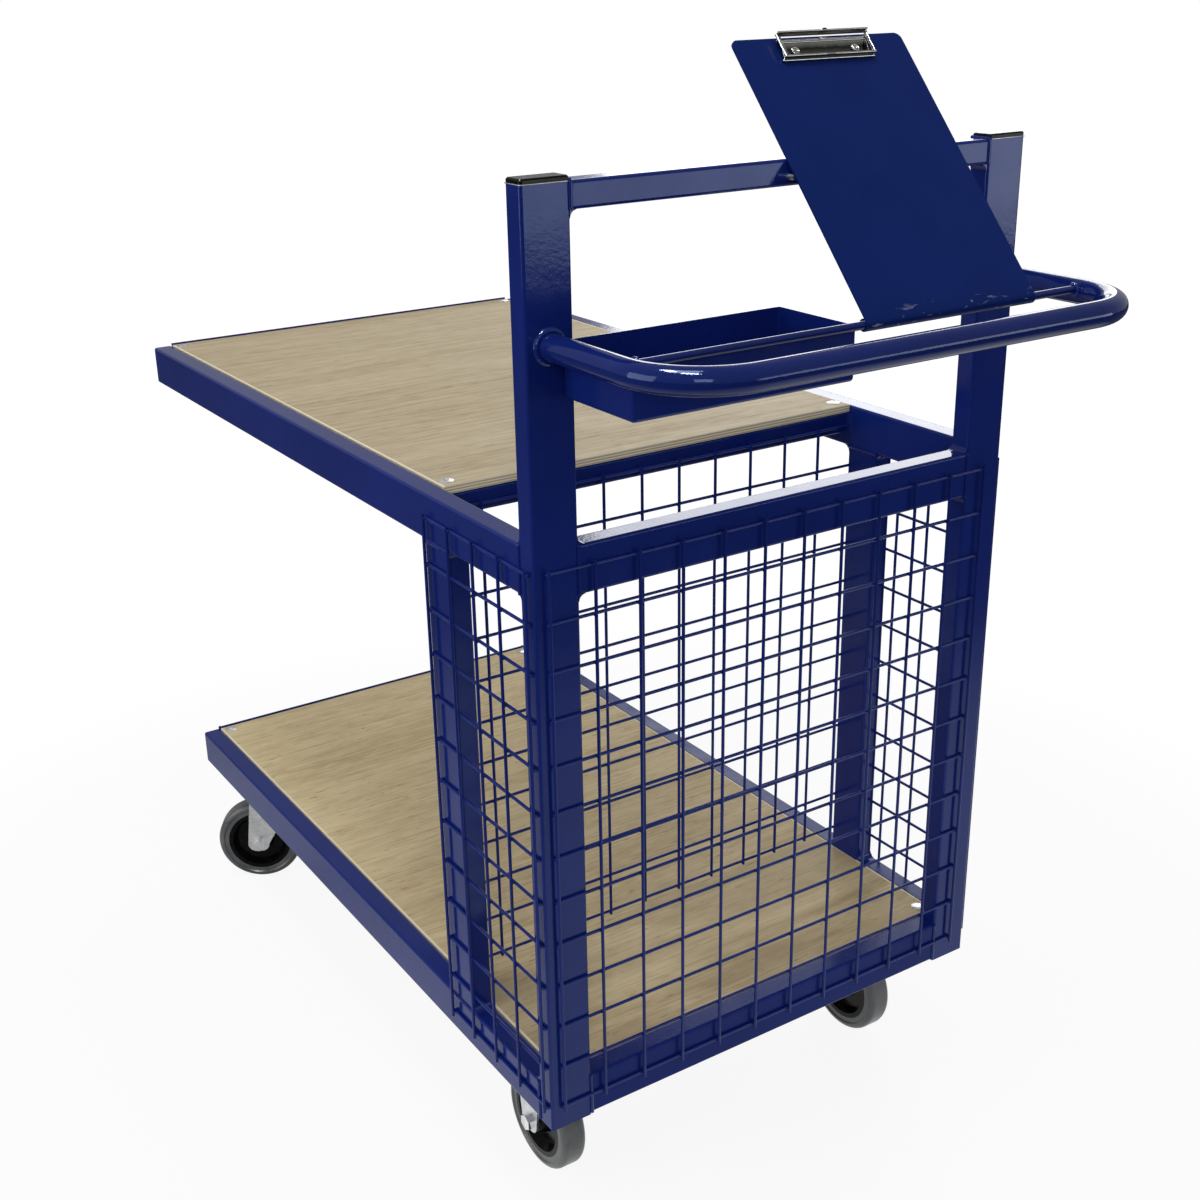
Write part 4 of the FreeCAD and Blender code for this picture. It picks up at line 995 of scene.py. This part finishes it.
    def rings(self) -> Piece:
        """Models the weld rings at the handle's and the rod's ends.

        Returns:
            The rings as one piece.
        """
        arm_low, arm_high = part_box("handle_tube")
        rod_low, rod_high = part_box("rest_rod")
        tube = (arm_high.z - arm_low.z) / 2
        rod = (rod_high.z - rod_low.z) / 2
        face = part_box("rear_left_post")[0].y
        handle_places = []
        rod_places = []
        for sign in SIGNS:
            across = sign * (arm_high.x - tube)
            middle = (arm_low.z + arm_high.z) / 2
            handle_places.append(turned(ACROSS, UP, BACK, (across, face, middle)))
            end = (across - sign * tube, (rod_low.y + rod_high.y) / 2, (rod_low.z + rod_high.z) / 2)
            rod_places.append(turned(AHEAD, UP, ACROSS, end))
        handle_ring = self.ring(tube + self.handle_ring_gap, self.handle_ring_bead)
        handle_rings = Bench.copies(handle_ring, handle_places, "handle_rings")
        rod_ring = self.ring(rod + self.rod_ring_gap, self.rod_ring_bead)
        rod_rings = Bench.copies(rod_ring, rod_places, "rod_rings")
        return Bench.joined((handle_rings, rod_rings), "weld_rings")

    def build(self) -> None:
        """Models the weld metal on the frame."""
        fillets = Bench.copies(self.fillet(), self.corners(), "weld_fillets")
        for piece in (fillets, self.seams(), self.rings()):
            Bench.mended(piece, self.smooth_angle)
            Bench.dress(piece, self.finish, Body.FRAME, Slot.BLUE_PAINT)


@dataclass
class MeshNuggets:
    """The small weld nuggets where the wires of each mesh panel cross."""

    finish: Material
    pitch_across: float = 0.0508
    pitch_up: float = 0.0502
    pitch_slack: float = 0.01
    radius: float = 0.0024
    side_tip: float = 0.0025
    top_tip: float = 0.0050
    inner_margin: float = 0.0400
    inner_shift: float = -0.0064
    segments: int = 8
    rings: int = 5
    smooth_angle: float = 60.0

    def crossings(self, node: str, axis: int) -> list[Matrix]:
        """Finds where one panel's wires cross.

        Args:
            node: The panel.
            axis: The axis that its cross wires run along.

        Returns:
            The place of every crossing.
        """
        inner = node == "inner_mesh"
        low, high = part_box(node)
        span = high[axis] - low[axis]
        margin = self.inner_margin if inner else self.side_tip
        columns = math.floor((span - 2.0 * margin) / self.pitch_across + self.pitch_slack) + 1
        spare = span - self.pitch_across * (columns - 1)
        first = low[axis] + spare / 2 + (self.inner_shift if inner else 0.0)
        beside = 1 - axis
        top = high.z - self.top_tip
        rows = math.floor((top - low.z) / self.pitch_up + self.pitch_slack) + 1
        places = []
        for column in range(columns):
            for row in range(rows):
                place = [0.0, 0.0, top - row * self.pitch_up]
                place[axis] = first + column * self.pitch_across
                place[beside] = (low[beside] + high[beside]) / 2
                places.append(Matrix.Translation(place))
        return places

    def build(self) -> None:
        """Models one nugget and copies it to every crossing."""
        Bench.clear()
        bpy.ops.mesh.primitive_uv_sphere_add(
            segments=self.segments, ring_count=self.rings, radius=self.radius
        )
        pattern = Bench.named("nugget_pattern")
        places = []
        for node, axis in (("rear_mesh", 0), ("inner_mesh", 0), ("left_mesh", 1), ("right_mesh", 1)):
            places.extend(self.crossings(node, axis))
        piece = Bench.copies(pattern, places, "mesh_nuggets")
        Bench.smooth(piece, self.smooth_angle)
        Bench.dress(piece, self.finish, Body.FRAME, Slot.BLUE_PAINT)


@dataclass
class DeckScrews:
    """Low domed screw heads with a cross recess, on the decks' own screws."""

    finish: Material
    radius: float = 0.0080
    sides: int = 40
    rim: float = 0.0006
    rise: float = 0.0010
    dome_shares: tuple[float, ...] = (0.9, 0.7, 0.45, 0.2)
    dome_inset_share: float = 0.17
    dome_rise_share: float = 0.5
    upward: float = 0.9
    recess: Point = (0.0074, 0.0015, 0.0016)
    recess_rise_share: float = 1.1
    recess_turn: float = 38.0
    inset_across: float = 0.0116
    rear_inset: float = 0.0168
    front_inset: float = 0.0136
    smooth_angle: float = 30.0

    def head(self) -> Piece:
        """Models one head, standing on the deck at the origin.

        Returns:
            The head.
        """
        Bench.clear()
        bpy.ops.mesh.primitive_cylinder_add(
            vertices=self.sides, radius=self.radius, depth=self.rim, location=(0.0, 0.0, self.rim / 2)
        )
        head = Bench.applied("screw_head")
        Bench.edit(head)
        net = bmesh.from_edit_mesh(head.data)
        for face in net.faces:
            face.select_set(face.normal.z > self.upward)
        bmesh.update_edit_mesh(head.data)
        for share in self.dome_shares:
            bpy.ops.mesh.inset(
                thickness=self.radius * self.dome_inset_share,
                depth=self.rise * self.dome_rise_share * share,
            )
        Bench.leave()
        for quarter in (0, 1):
            Bench.clear()
            bpy.ops.mesh.primitive_cube_add(
                size=1.0,
                location=(0.0, 0.0, self.rim + self.rise * self.recess_rise_share),
                scale=self.recess,
                rotation=(0.0, 0.0, math.radians(self.recess_turn) + quarter * math.pi / 2),
            )
            Bench.cut(head, Bench.named("recess_cutter"))
        return head

    def build(self) -> None:
        """Models one head and copies it to the four screws of each deck."""
        places = []
        for node in ("lower_deck_board", "upper_deck_board"):
            low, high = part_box(node)
            for across in (low.x + self.inset_across, high.x - self.inset_across):
                for forward in (low.y + self.rear_inset, high.y - self.front_inset):
                    places.append(Matrix.Translation((across, forward, high.z)))
        piece = Bench.copies(self.head(), places, "deck_screw_heads")
        Bench.smooth(piece, self.smooth_angle)
        Bench.dress(piece, self.finish, Body.FRAME, Slot.ZINC)


@dataclass
class CapLines:
    """The bright cut edge of each tall post, which shows under its black cap."""

    finish: Material
    proud: float = 0.00025
    height: float = 0.0010
    rounding: float = 0.0004
    rounding_steps: int = 2
    smooth_angle: float = 35.0

    def build(self) -> None:
        """Models one band for each tall post."""
        rows = []
        for side in ("left", "right"):
            low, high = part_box(f"rear_{side}_post")
            Bench.clear()
            bpy.ops.mesh.primitive_cube_add(
                size=1.0,
                location=((low.x + high.x) / 2, (low.y + high.y) / 2, high.z - self.height / 2),
                scale=(high.x - low.x + 2 * self.proud, high.y - low.y + 2 * self.proud, self.height),
            )
            band = Bench.applied("cap_line")
            Bench.modify(band, "BEVEL", width=self.rounding, segments=self.rounding_steps)
            rows.append(band)
        piece = Bench.joined(rows, "cap_lines")
        Bench.smooth(piece, self.smooth_angle)
        Bench.dress(piece, self.finish, Body.FRAME, Slot.ZINC)


@dataclass
class SpringClip:
    """The clipboard's chromed clip: a hollowed base on two eyelets, and a jaw with rolled edges.

    It is modelled about its hinge pin, with X across the plate, Y up the plate and Z out of it.
    """

    finish: Material
    # The darker copy of the chrome, with dimmer painted reflections, as painted shade on the panel and the
    # back strip.
    shaded_finish: Material
    lean: float = math.radians(41.597)
    sheet: float = 0.0009
    sheet_rounding_share: float = 0.35
    sheet_rounding_steps: int = 2
    base_half: float = 0.0540
    base_front: float = -0.0175
    base_back: float = -0.0026
    base_low: float = -0.0034
    base_high: float = 0.0010
    panel_rows: int = 16
    panel_columns: int = 2
    panel_lip_share: float = 0.18
    panel_lip_power: float = 6.0
    panel_rise_power: float = 2.2
    same_row: float = 1e-5
    eyelet_half: float = 0.0380
    eyelet_along: float = -0.0104
    eyelet_rise: float = 0.0012
    eyelet: float = 0.0036
    eyelet_roll: float = 0.0011
    eyelet_inner_share: float = 0.5
    eyelet_inner_roll_share: float = 0.7
    eyelet_stand_share: float = 0.6
    eyelet_sides: tuple[int, int] = (36, 12)
    seat_thick: float = 0.0012
    seat_sides: int = 32
    jaw_half: float = 0.0565
    jaw_front: float = -0.0205
    jaw_back: float = 0.0052
    grip: float = -0.0024
    roof: float = 0.0024
    roll: float = 0.0014
    roll_sides: int = 20
    end_bead_share: float = 1.35
    end_bead_sides: tuple[int, int] = (16, 10)
    side_roll_share: float = 0.85
    wall_inset_share: float = 0.4
    ledge_share: float = 1.6
    side_width: float = 0.0034
    arm_half: float = 0.0019
    arm_low: float = -0.0020
    back_top: float = 0.0066
    tab: float = 0.0055
    tab_sides: int = 40
    notch: float = 0.0070
    notch_inset_share: float = 1.5
    notch_roll_share: float = 0.7
    smooth_angle: float = 40.0

    def pose(self) -> Matrix:
        """Finds the hinge pin on the leaning plate.

        Returns:
            The clip's place.
        """
        low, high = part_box("clip_pin")
        up = (0.0, math.sin(self.lean), math.cos(self.lean))
        out = (0.0, -math.cos(self.lean), math.sin(self.lean))
        return turned(ACROSS, up, out, (low + high) / 2)

    def rod(self, start: Point, end: Point, radius: float, beaded: bool = False) -> Piece:
        """Models one straight roll of sheet.

        Args:
            start: Its first end.
            end: Its other end.
            radius: Its radius.
            beaded: Whether it has a bead on each end.

        Returns:
            The roll.
        """
        Bench.clear()
        first, last = Vector(start), Vector(end)
        bpy.ops.mesh.primitive_cylinder_add(
            vertices=self.roll_sides,
            radius=radius,
            depth=(last - first).length,
            location=(first + last) / 2,
            rotation=(last - first).to_track_quat("Z", "Y").to_euler(),
        )
        pieces = [Bench.applied("roll")]
        segments, rings = self.end_bead_sides
        for place in (first, last) if beaded else ():
            Bench.clear()
            bpy.ops.mesh.primitive_uv_sphere_add(
                segments=segments, ring_count=rings, radius=radius * self.end_bead_share, location=place
            )
            pieces.append(Bench.applied("roll_bead"))
        return Bench.joined(pieces, "roll")

    def bar(self, half: float, along: float, height: float, radius: float, beaded: bool = False) -> Piece:
        """Models one roll that runs across the clip.

        Args:
            half: Half its length.
            along: Its place up the plate.
            height: Its height over the pin.
            radius: Its radius.
            beaded: Whether it has a bead on each end.

        Returns:
            The roll.
        """
        return self.rod((-half, along, height), (half, along, height), radius, beaded)

    def strip(self, low: Point, high: Point) -> Piece:
        """Models one flat strip of sheet with softened edges.

        Args:
            low: Its least corner.
            high: Its greatest corner.

        Returns:
            The strip.
        """
        Bench.clear()
        least, most = Vector(low), Vector(high)
        bpy.ops.mesh.primitive_cube_add(size=1.0, location=(least + most) / 2, scale=most - least)
        strip = Bench.applied("strip")
        rounding = self.sheet * self.sheet_rounding_share
        Bench.modify(strip, "BEVEL", width=rounding, segments=self.sheet_rounding_steps)
        return strip

    def hollow(self) -> Piece:
        """Models the base's panel, hollowed row by row up to its raised rim.

        Returns:
            The panel.
        """
        Bench.clear()
        rows = self.panel_rows
        long = self.base_back - self.base_front
        bpy.ops.mesh.primitive_grid_add(x_subdivisions=self.panel_columns, y_subdivisions=rows, size=1.0)
        panel = Bench.named("clip_panel")
        panel.scale = (2.0 * self.base_half, long, 1.0)
        panel.location = (0.0, (self.base_front + self.base_back) / 2, self.base_low)
        bpy.ops.object.transform_apply()
        Bench.edit(panel)
        for row in range(rows + 1):
            share = row / rows
            along = self.base_front + long * share
            net = bmesh.from_edit_mesh(panel.data)
            for vertex in net.verts:
                vertex.select_set(abs(vertex.co.y - along) < self.same_row)
            bmesh.update_edit_mesh(panel.data)
            lip = self.panel_lip_share * (1.0 - share) ** self.panel_lip_power
            rise = (self.base_high - self.base_low) * (lip + share**self.panel_rise_power)
            bpy.ops.transform.translate(value=(0.0, 0.0, rise))
        Bench.leave()
        Bench.modify(panel, "SOLIDIFY", thickness=self.sheet, offset=-1.0)
        return panel

    def rolled_eyelet(self, across: float) -> list[Piece]:
        """Models one rolled eyelet on its seat.

        Args:
            across: Its place across the plate.

        Returns:
            Its outer roll, its inner roll and its seat.
        """
        height = self.base_low + self.eyelet_rise
        around, through = self.eyelet_sides
        inner = (self.eyelet * self.eyelet_inner_share, self.eyelet_roll * self.eyelet_inner_roll_share)
        pieces = []
        for radius, roll in ((self.eyelet, self.eyelet_roll), inner):
            Bench.clear()
            bpy.ops.mesh.primitive_torus_add(
                major_segments=around,
                minor_segments=through,
                major_radius=radius,
                minor_radius=roll,
                location=(across, self.eyelet_along, height + roll * self.eyelet_stand_share),
            )
            pieces.append(Bench.applied("eyelet"))
        Bench.clear()
        bpy.ops.mesh.primitive_cylinder_add(
            vertices=self.seat_sides,
            radius=self.eyelet,
            depth=self.seat_thick,
            location=(across, self.eyelet_along, height),
        )
        pieces.append(Bench.applied("eyelet_seat"))
        return pieces

    def base_trim(self) -> Piece:
        """Models the base's rolled rim, its back and its eyelets.

        Returns:
            The trim as one piece.
        """
        half, front, back = self.base_half, self.base_front, self.base_back
        low, high, sheet = self.base_low, self.base_high, self.sheet
        pieces = [
            self.bar(half, front, low + sheet, sheet),
            self.bar(half, back, high, sheet),
            self.strip((-half, back, low), (half, back + sheet, high)),
        ]
        for sign in SIGNS:
            edge = sign * half
            pieces.append(self.rod((edge, front, low + sheet), (edge, back, high), sheet))
            pieces.extend(self.rolled_eyelet(sign * self.eyelet_half))
        return Bench.joined(pieces, "clip_base_trim")

    def jaw_tab(self) -> Piece:
        """Models the round tab of the jaw's back strip, cut off level with the strip's foot.

        Returns:
            The tab.
        """
        Bench.clear()
        bpy.ops.mesh.primitive_cylinder_add(
            vertices=self.tab_sides,
            radius=self.tab,
            depth=self.sheet,
            location=(0.0, self.jaw_back + self.sheet / 2, self.back_top - self.tab / 2),
            rotation=(math.pi / 2, 0.0, 0.0),
        )
        tab = Bench.applied("jaw_tab")
        Bench.edit(tab)
        bpy.ops.mesh.select_all(action="SELECT")
        foot = (0.0, 0.0, self.roof - self.roll)
        bpy.ops.mesh.bisect(plane_co=foot, plane_no=UP, use_fill=True, clear_inner=True)
        Bench.leave()
        return tab

    def jaw_back_strip(self) -> Piece:
        """Models the jaw's upturned back strip with its tab, and the wall behind its grip.

        Returns:
            The strip, the wall and the tab as one piece.
        """
        half, back, roof, sheet = self.jaw_half, self.jaw_back, self.roof, self.sheet
        wall = self.jaw_front + self.roll * self.wall_inset_share
        pieces = [
            self.strip((-half, wall, self.grip), (half, wall + sheet, roof)),
            self.strip((-half, back, roof - self.roll), (half, back + sheet, self.back_top)),
            self.jaw_tab(),
        ]
        return Bench.joined(pieces, "clip_jaw_back")

    def jaw_frame(self) -> Piece:
        """Models the jaw's rolled grip, side rolls and arms.

        Returns:
            The frame as one piece.
        """
        half, back, roof, notch = self.jaw_half, self.jaw_back, self.roof, self.notch
        roll, sheet = self.roll, self.sheet
        front = self.jaw_front + roll
        side_roll = roll * self.side_roll_share
        notch_roll = roll * self.notch_roll_share
        notch_along = self.jaw_front + roll * self.notch_inset_share
        pieces = [
            self.bar(half, self.jaw_front, self.grip, roll, beaded=True),
            self.rod((-half, front, roof), (-notch, front, roof), side_roll),
            self.rod((notch, front, roof), (half, front, roof), side_roll),
            self.bar(notch, notch_along, roof - notch_roll, notch_roll),
            self.bar(half, back + sheet / 2, self.back_top, sheet),
            self.strip((-half, back - roll * self.ledge_share, roof), (half, back, roof + sheet)),
        ]
        for sign in SIGNS:
            edge = sign * half
            side_end = (edge, back, roof + sheet / 2)
            pieces.append(self.rod((edge, front, roof), side_end, side_roll, beaded=True))
            left, right = sorted((edge, edge - sign * self.side_width))
            pieces.append(self.strip((left, front, roof), (right, back, roof + sheet)))
            left, right = sorted((edge, edge - sign * sheet))
            pieces.append(self.strip((left, -self.arm_half, self.arm_low), (right, self.arm_half, roof)))
        return Bench.joined(pieces, "clip_jaw_frame")

    def build(self) -> None:
        """Models the clip and lays it on the plate."""
        for piece, finish, body, nodes in (
            (self.hollow(), self.shaded_finish, Body.CLIPBOARD, ("clip_base",)),
            (self.base_trim(), self.finish, Body.CLIPBOARD, ("clip_rivets",)),
            (self.jaw_back_strip(), self.shaded_finish, Body.CLIP_LEVER, ("clip_jaw",)),
            (self.jaw_frame(), self.finish, Body.CLIP_LEVER, ()),
        ):
            piece.data.transform(self.pose())
            Bench.mended(piece, self.smooth_angle)
            Bench.dress(piece, finish, body, Slot.CHROME)
            if nodes:
                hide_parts(*nodes)


@dataclass
class PhotoCamera:
    """A camera at the photograph's own viewpoint."""

    location: Point = (-0.9838, -1.5966, 1.3059)
    forward: Point = (0.5024, 0.7813, -0.3703)
    up: Point = (0.2161, 0.3012, 0.9287)
    lens: float = 47.64
    sensor: float = 36.0

    def build(self) -> None:
        """Adds the camera and makes it the scene's own."""
        data = bpy.data.cameras.new("photo_camera")
        data.lens = self.lens
        data.sensor_width = self.sensor
        camera = bpy.data.objects.new("photo_camera", data)
        back = -Vector(self.forward).normalized()
        right = Vector(self.up).cross(back).normalized()
        camera.matrix_world = turned(right, back.cross(right), back, self.location)
        bpy.context.collection.objects.link(camera)
        bpy.context.scene.camera = camera


@dataclass(frozen=True)
class Lamp:
    """A soft lamp: its place, the point that it looks at, its width and height, and its power in watts."""

    name: str
    place: Point
    target: Point
    size: Range
    power: float
    glint: bool = False

    def hang(self) -> None:
        """Adds the lamp, unseen by the camera. A glint shows in reflections alone."""
        data = bpy.data.lights.new(self.name, "AREA")
        data.shape = "RECTANGLE"
        data.size, data.size_y = self.size
        data.energy = self.power
        lamp = bpy.data.objects.new(self.name, data)
        lamp.visible_camera = False
        lamp.visible_diffuse = not self.glint
        lamp.location = self.place
        way = Vector(self.target) - Vector(self.place)
        lamp.rotation_euler = way.to_track_quat("-Z", "Y").to_euler()
        bpy.context.collection.objects.link(lamp)


@dataclass
class Studio:
    """A pale floor, soft lamps and a plain white surround."""

    floor_size: float = 24.0
    near_grey: float = 0.60
    far_grey: float = 0.12
    floor_roughness: float = 0.9
    floor_gloss_level: float = 0.1
    floor_white: float = 0.86
    reflected_glow_share: float = 0.80
    reflected_glow_middle: Point = (0.40, -0.65, 0.0)
    reflected_glow_reach: Range = (0.75, 1.35)
    floor_glow: float = 1.05
    lit_reach: Range = (0.9, 1.6)
    ambient: float = 0.50
    surround: float = 1.0
    lamps: tuple[Lamp, ...] = (
        Lamp("high_softbox", (-0.6, -0.4, 3.6), (0.0, 0.1, 0.5), (0.8, 0.8), power=23.0),
        Lamp("rear_softbox", (-2.2, -3.4, 2.2), (0.0, 0.0, 0.6), (1.2, 1.2), power=24.0),
        Lamp("far_softbox", (2.8, 2.6, 2.4), (0.0, 0.2, 0.5), (2.0, 2.0), power=46.0),
        Lamp("left_softbox", (-3.4, 0.3, 1.5), (0.0, 0.0, 0.6), (2.0, 2.0), power=46.0),
        Lamp("left_glint", (-0.90, -0.12, 3.3), (-0.2, -0.5, 1.0), (0.60, 0.30), power=60.0, glint=True),
        Lamp("right_glint", (-1.00, -1.00, 3.3), (-0.2, -0.6, 1.0), (0.60, 0.30), power=60.0, glint=True),
        Lamp("low_softbox", (1.50, -2.15, 0.88), (0.5, -0.42, 0.9), (1.9, 0.40), power=8.5),
    )

    def floor(self) -> None:
        """Lays the floor, which keeps the object's shadow and looks white to the camera. A patch of it
        behind the object glows in reflections alone, as a painted reflection.
        """
        Bench.clear()
        bpy.ops.mesh.primitive_plane_add(size=self.floor_size)
        floor = Bench.named("floor")
        graph = Graph("pale_floor")
        reach = graph.reach((0.0, 0.0, 0.0))
        near = graph.span(reach, *self.lit_reach, 1.0, 0.0)
        graph.shade(
            Base_Color=graph.mix(near, (self.far_grey,) * 3, (self.near_grey,) * 3),
            Roughness=self.floor_roughness,
            Specular_IOR_Level=self.floor_gloss_level,
        )
        path = graph.nodes.new("ShaderNodeLightPath").outputs
        white = graph.span(reach, *self.lit_reach, self.floor_white, 1.0)
        direct = graph.sums("MULTIPLY", path["Is Camera Ray"], white)
        mirrored = graph.sums("MAXIMUM", path["Is Glossy Ray"], path["Is Transmission Ray"])
        # Painted reflection: the floor glows for reflected rays in a patch behind the object.
        behind = graph.reach(self.reflected_glow_middle)
        sheen = graph.span(behind, *self.reflected_glow_reach, self.reflected_glow_share, 0.0)
        share = graph.sums("MAXIMUM", direct, graph.sums("MULTIPLY", mirrored, sheen))
        glow = graph.nodes.new("ShaderNodeEmission")
        glow.inputs["Strength"].default_value = self.floor_glow
        mixed = graph.nodes.new("ShaderNodeMixShader")
        for socket, source in zip(mixed.inputs, (share, graph.shader.outputs[0], glow.outputs[0])):
            graph.links.new(source, socket)
        graph.links.new(mixed.outputs[0], graph.output.inputs[0])
        floor.data.materials.append(graph.material)

    def surroundings(self) -> None:
        """Lights the scene evenly, and shows white behind it."""
        world = bpy.data.worlds.new("surround")
        bpy.context.scene.world = world
        world.use_nodes = True
        nodes, links = world.node_tree.nodes, world.node_tree.links
        nodes.clear()
        output = nodes.new("ShaderNodeOutputWorld")
        light = nodes.new("ShaderNodeBackground")
        light.inputs["Strength"].default_value = self.ambient
        white = nodes.new("ShaderNodeBackground")
        white.inputs["Color"].default_value = (1.0, 1.0, 1.0, 1.0)
        white.inputs["Strength"].default_value = self.surround
        mixed = nodes.new("ShaderNodeMixShader")
        direct = nodes.new("ShaderNodeLightPath").outputs["Is Camera Ray"]
        for socket, source in zip(mixed.inputs, (direct, light.outputs[0], white.outputs[0])):
            links.new(source, socket)
        links.new(mixed.outputs[0], output.inputs[0])

    def build(self) -> None:
        """Builds the floor, the surround and the lamps."""
        self.floor()
        self.surroundings()
        for lamp in self.lamps:
            lamp.hang()


def slot_finishes() -> dict[Slot, Material]:
    """Makes the finish of each slot.

    Returns:
        Each slot's material.
    """
    return {
        Slot.BLUE_PAINT: PowderCoat().make(),
        Slot.PLYWOOD: Plywood().make(),
        Slot.ZINC: ZincPlate().make(),
        Slot.CHROME: Chrome().make(),
        Slot.GREY_RUBBER: GreyRubber().make(),
        Slot.BLACK_PLASTIC: BlackPlastic().make(),
    }


def special_finishes() -> dict[str, Material]:
    """Makes the finishes of solids that differ from the rest of their slot.

    Returns:
        The material of each such node.
    """
    scuffed = PowderCoat(
        "scuffed_powder_coat",
        deep=(0.0046, 0.0164, 0.112),
        bright=(0.0058, 0.0196, 0.136),
        gloss_level=0.05,
        scuffed_up=(1.004, 1.020),
    )
    worn = PowderCoat("worn_powder_coat", gloss=(0.20, 0.32), gloss_level=0.12)
    # A glossier, darker copy of the blue paint for the handle and the rod: painted shade, darker to offset
    # their stronger reflections.
    smooth = PowderCoat(
        "darkened_smooth_powder_coat",
        deep=(0.0042, 0.0132, 0.112),
        bright=(0.0054, 0.0156, 0.136),
        gloss=(0.04, 0.09),
    )
    # A lighter, warmer copy of the plywood for the lower deck: painted light against the shade of the upper
    # deck, with more painted shade towards the rear.
    lightened_warm_plywood = Plywood(
        "lightened_warm_plywood",
        pale=(0.690, 0.568, 0.350),
        mid=(0.592, 0.478, 0.282),
        dark=(0.462, 0.352, 0.190),
        stain_and_shade_shares=(0.15, 0.70),
        flecked=(0.67, 0.73),
    )
    bright_zinc = ZincPlate(
        "bright_zinc", light=(0.90, 0.91, 0.92), grey=(0.66, 0.67, 0.68), gloss=(0.08, 0.16)
    )
    special = {}
    for finish, nodes in (
        (scuffed, ("clipboard_plate",)),
        (worn, ("lower_right_rail", "lower_rear_bar")),
        (smooth, ("handle_tube", "rest_rod")),
        (lightened_warm_plywood, ("lower_deck_board",)),
        (bright_zinc, ("front_left_axle", "front_right_axle", "rear_axles", "castor_bolts")),
    ):
        special.update(dict.fromkeys(nodes, finish.make()))
    return special


def paint_solids(frame: dict, finishes: dict[Slot, Material], special: dict[str, Material]) -> None:
    """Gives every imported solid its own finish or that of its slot.

    Args:
        finishes: Each slot's material.
        special: The material of each node that has one of its own.
    """
    slots = {row["node"]: row["material_slot"] for row in frame["record"]["subparts"]}
    for name, node in frame["nodes"].items():
        node.data.materials.clear()
        node.data.materials.append(special.get(name) or finishes[Slot(slots[name])])


def main() -> None:
    """Dresses the trolley and sets the scene."""
    logging.basicConfig(level=logging.INFO, format="%(name)s: %(message)s")
    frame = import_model()
    Bench.clear()
    bpy.context.scene.view_settings.view_transform = "Standard"
    finishes = slot_finishes()
    paint_solids(frame, finishes, special_finishes())
    weld_coat = PowderCoat("weld_coat", gloss=(0.05, 0.12), gloss_level=0.45).make()
    # A darker copy of the chrome with dimmer painted reflections: painted shade on the clip's panel and its
    # jaw's back strip.
    shaded_chrome = Chrome(
        "shaded_chrome", bright=(0.42, 0.42, 0.39), middle=(0.14, 0.14, 0.125), dark=(0.026, 0.026, 0.022)
    ).make()
    Welds(weld_coat).build()
    MeshNuggets(finishes[Slot.BLUE_PAINT]).build()
    DeckScrews(finishes[Slot.ZINC]).build()
    CapLines(finishes[Slot.ZINC]).build()
    SpringClip(finishes[Slot.CHROME], shaded_chrome).build()
    Studio().build()
    PhotoCamera().build()


if __name__ == "__main__":
    main()
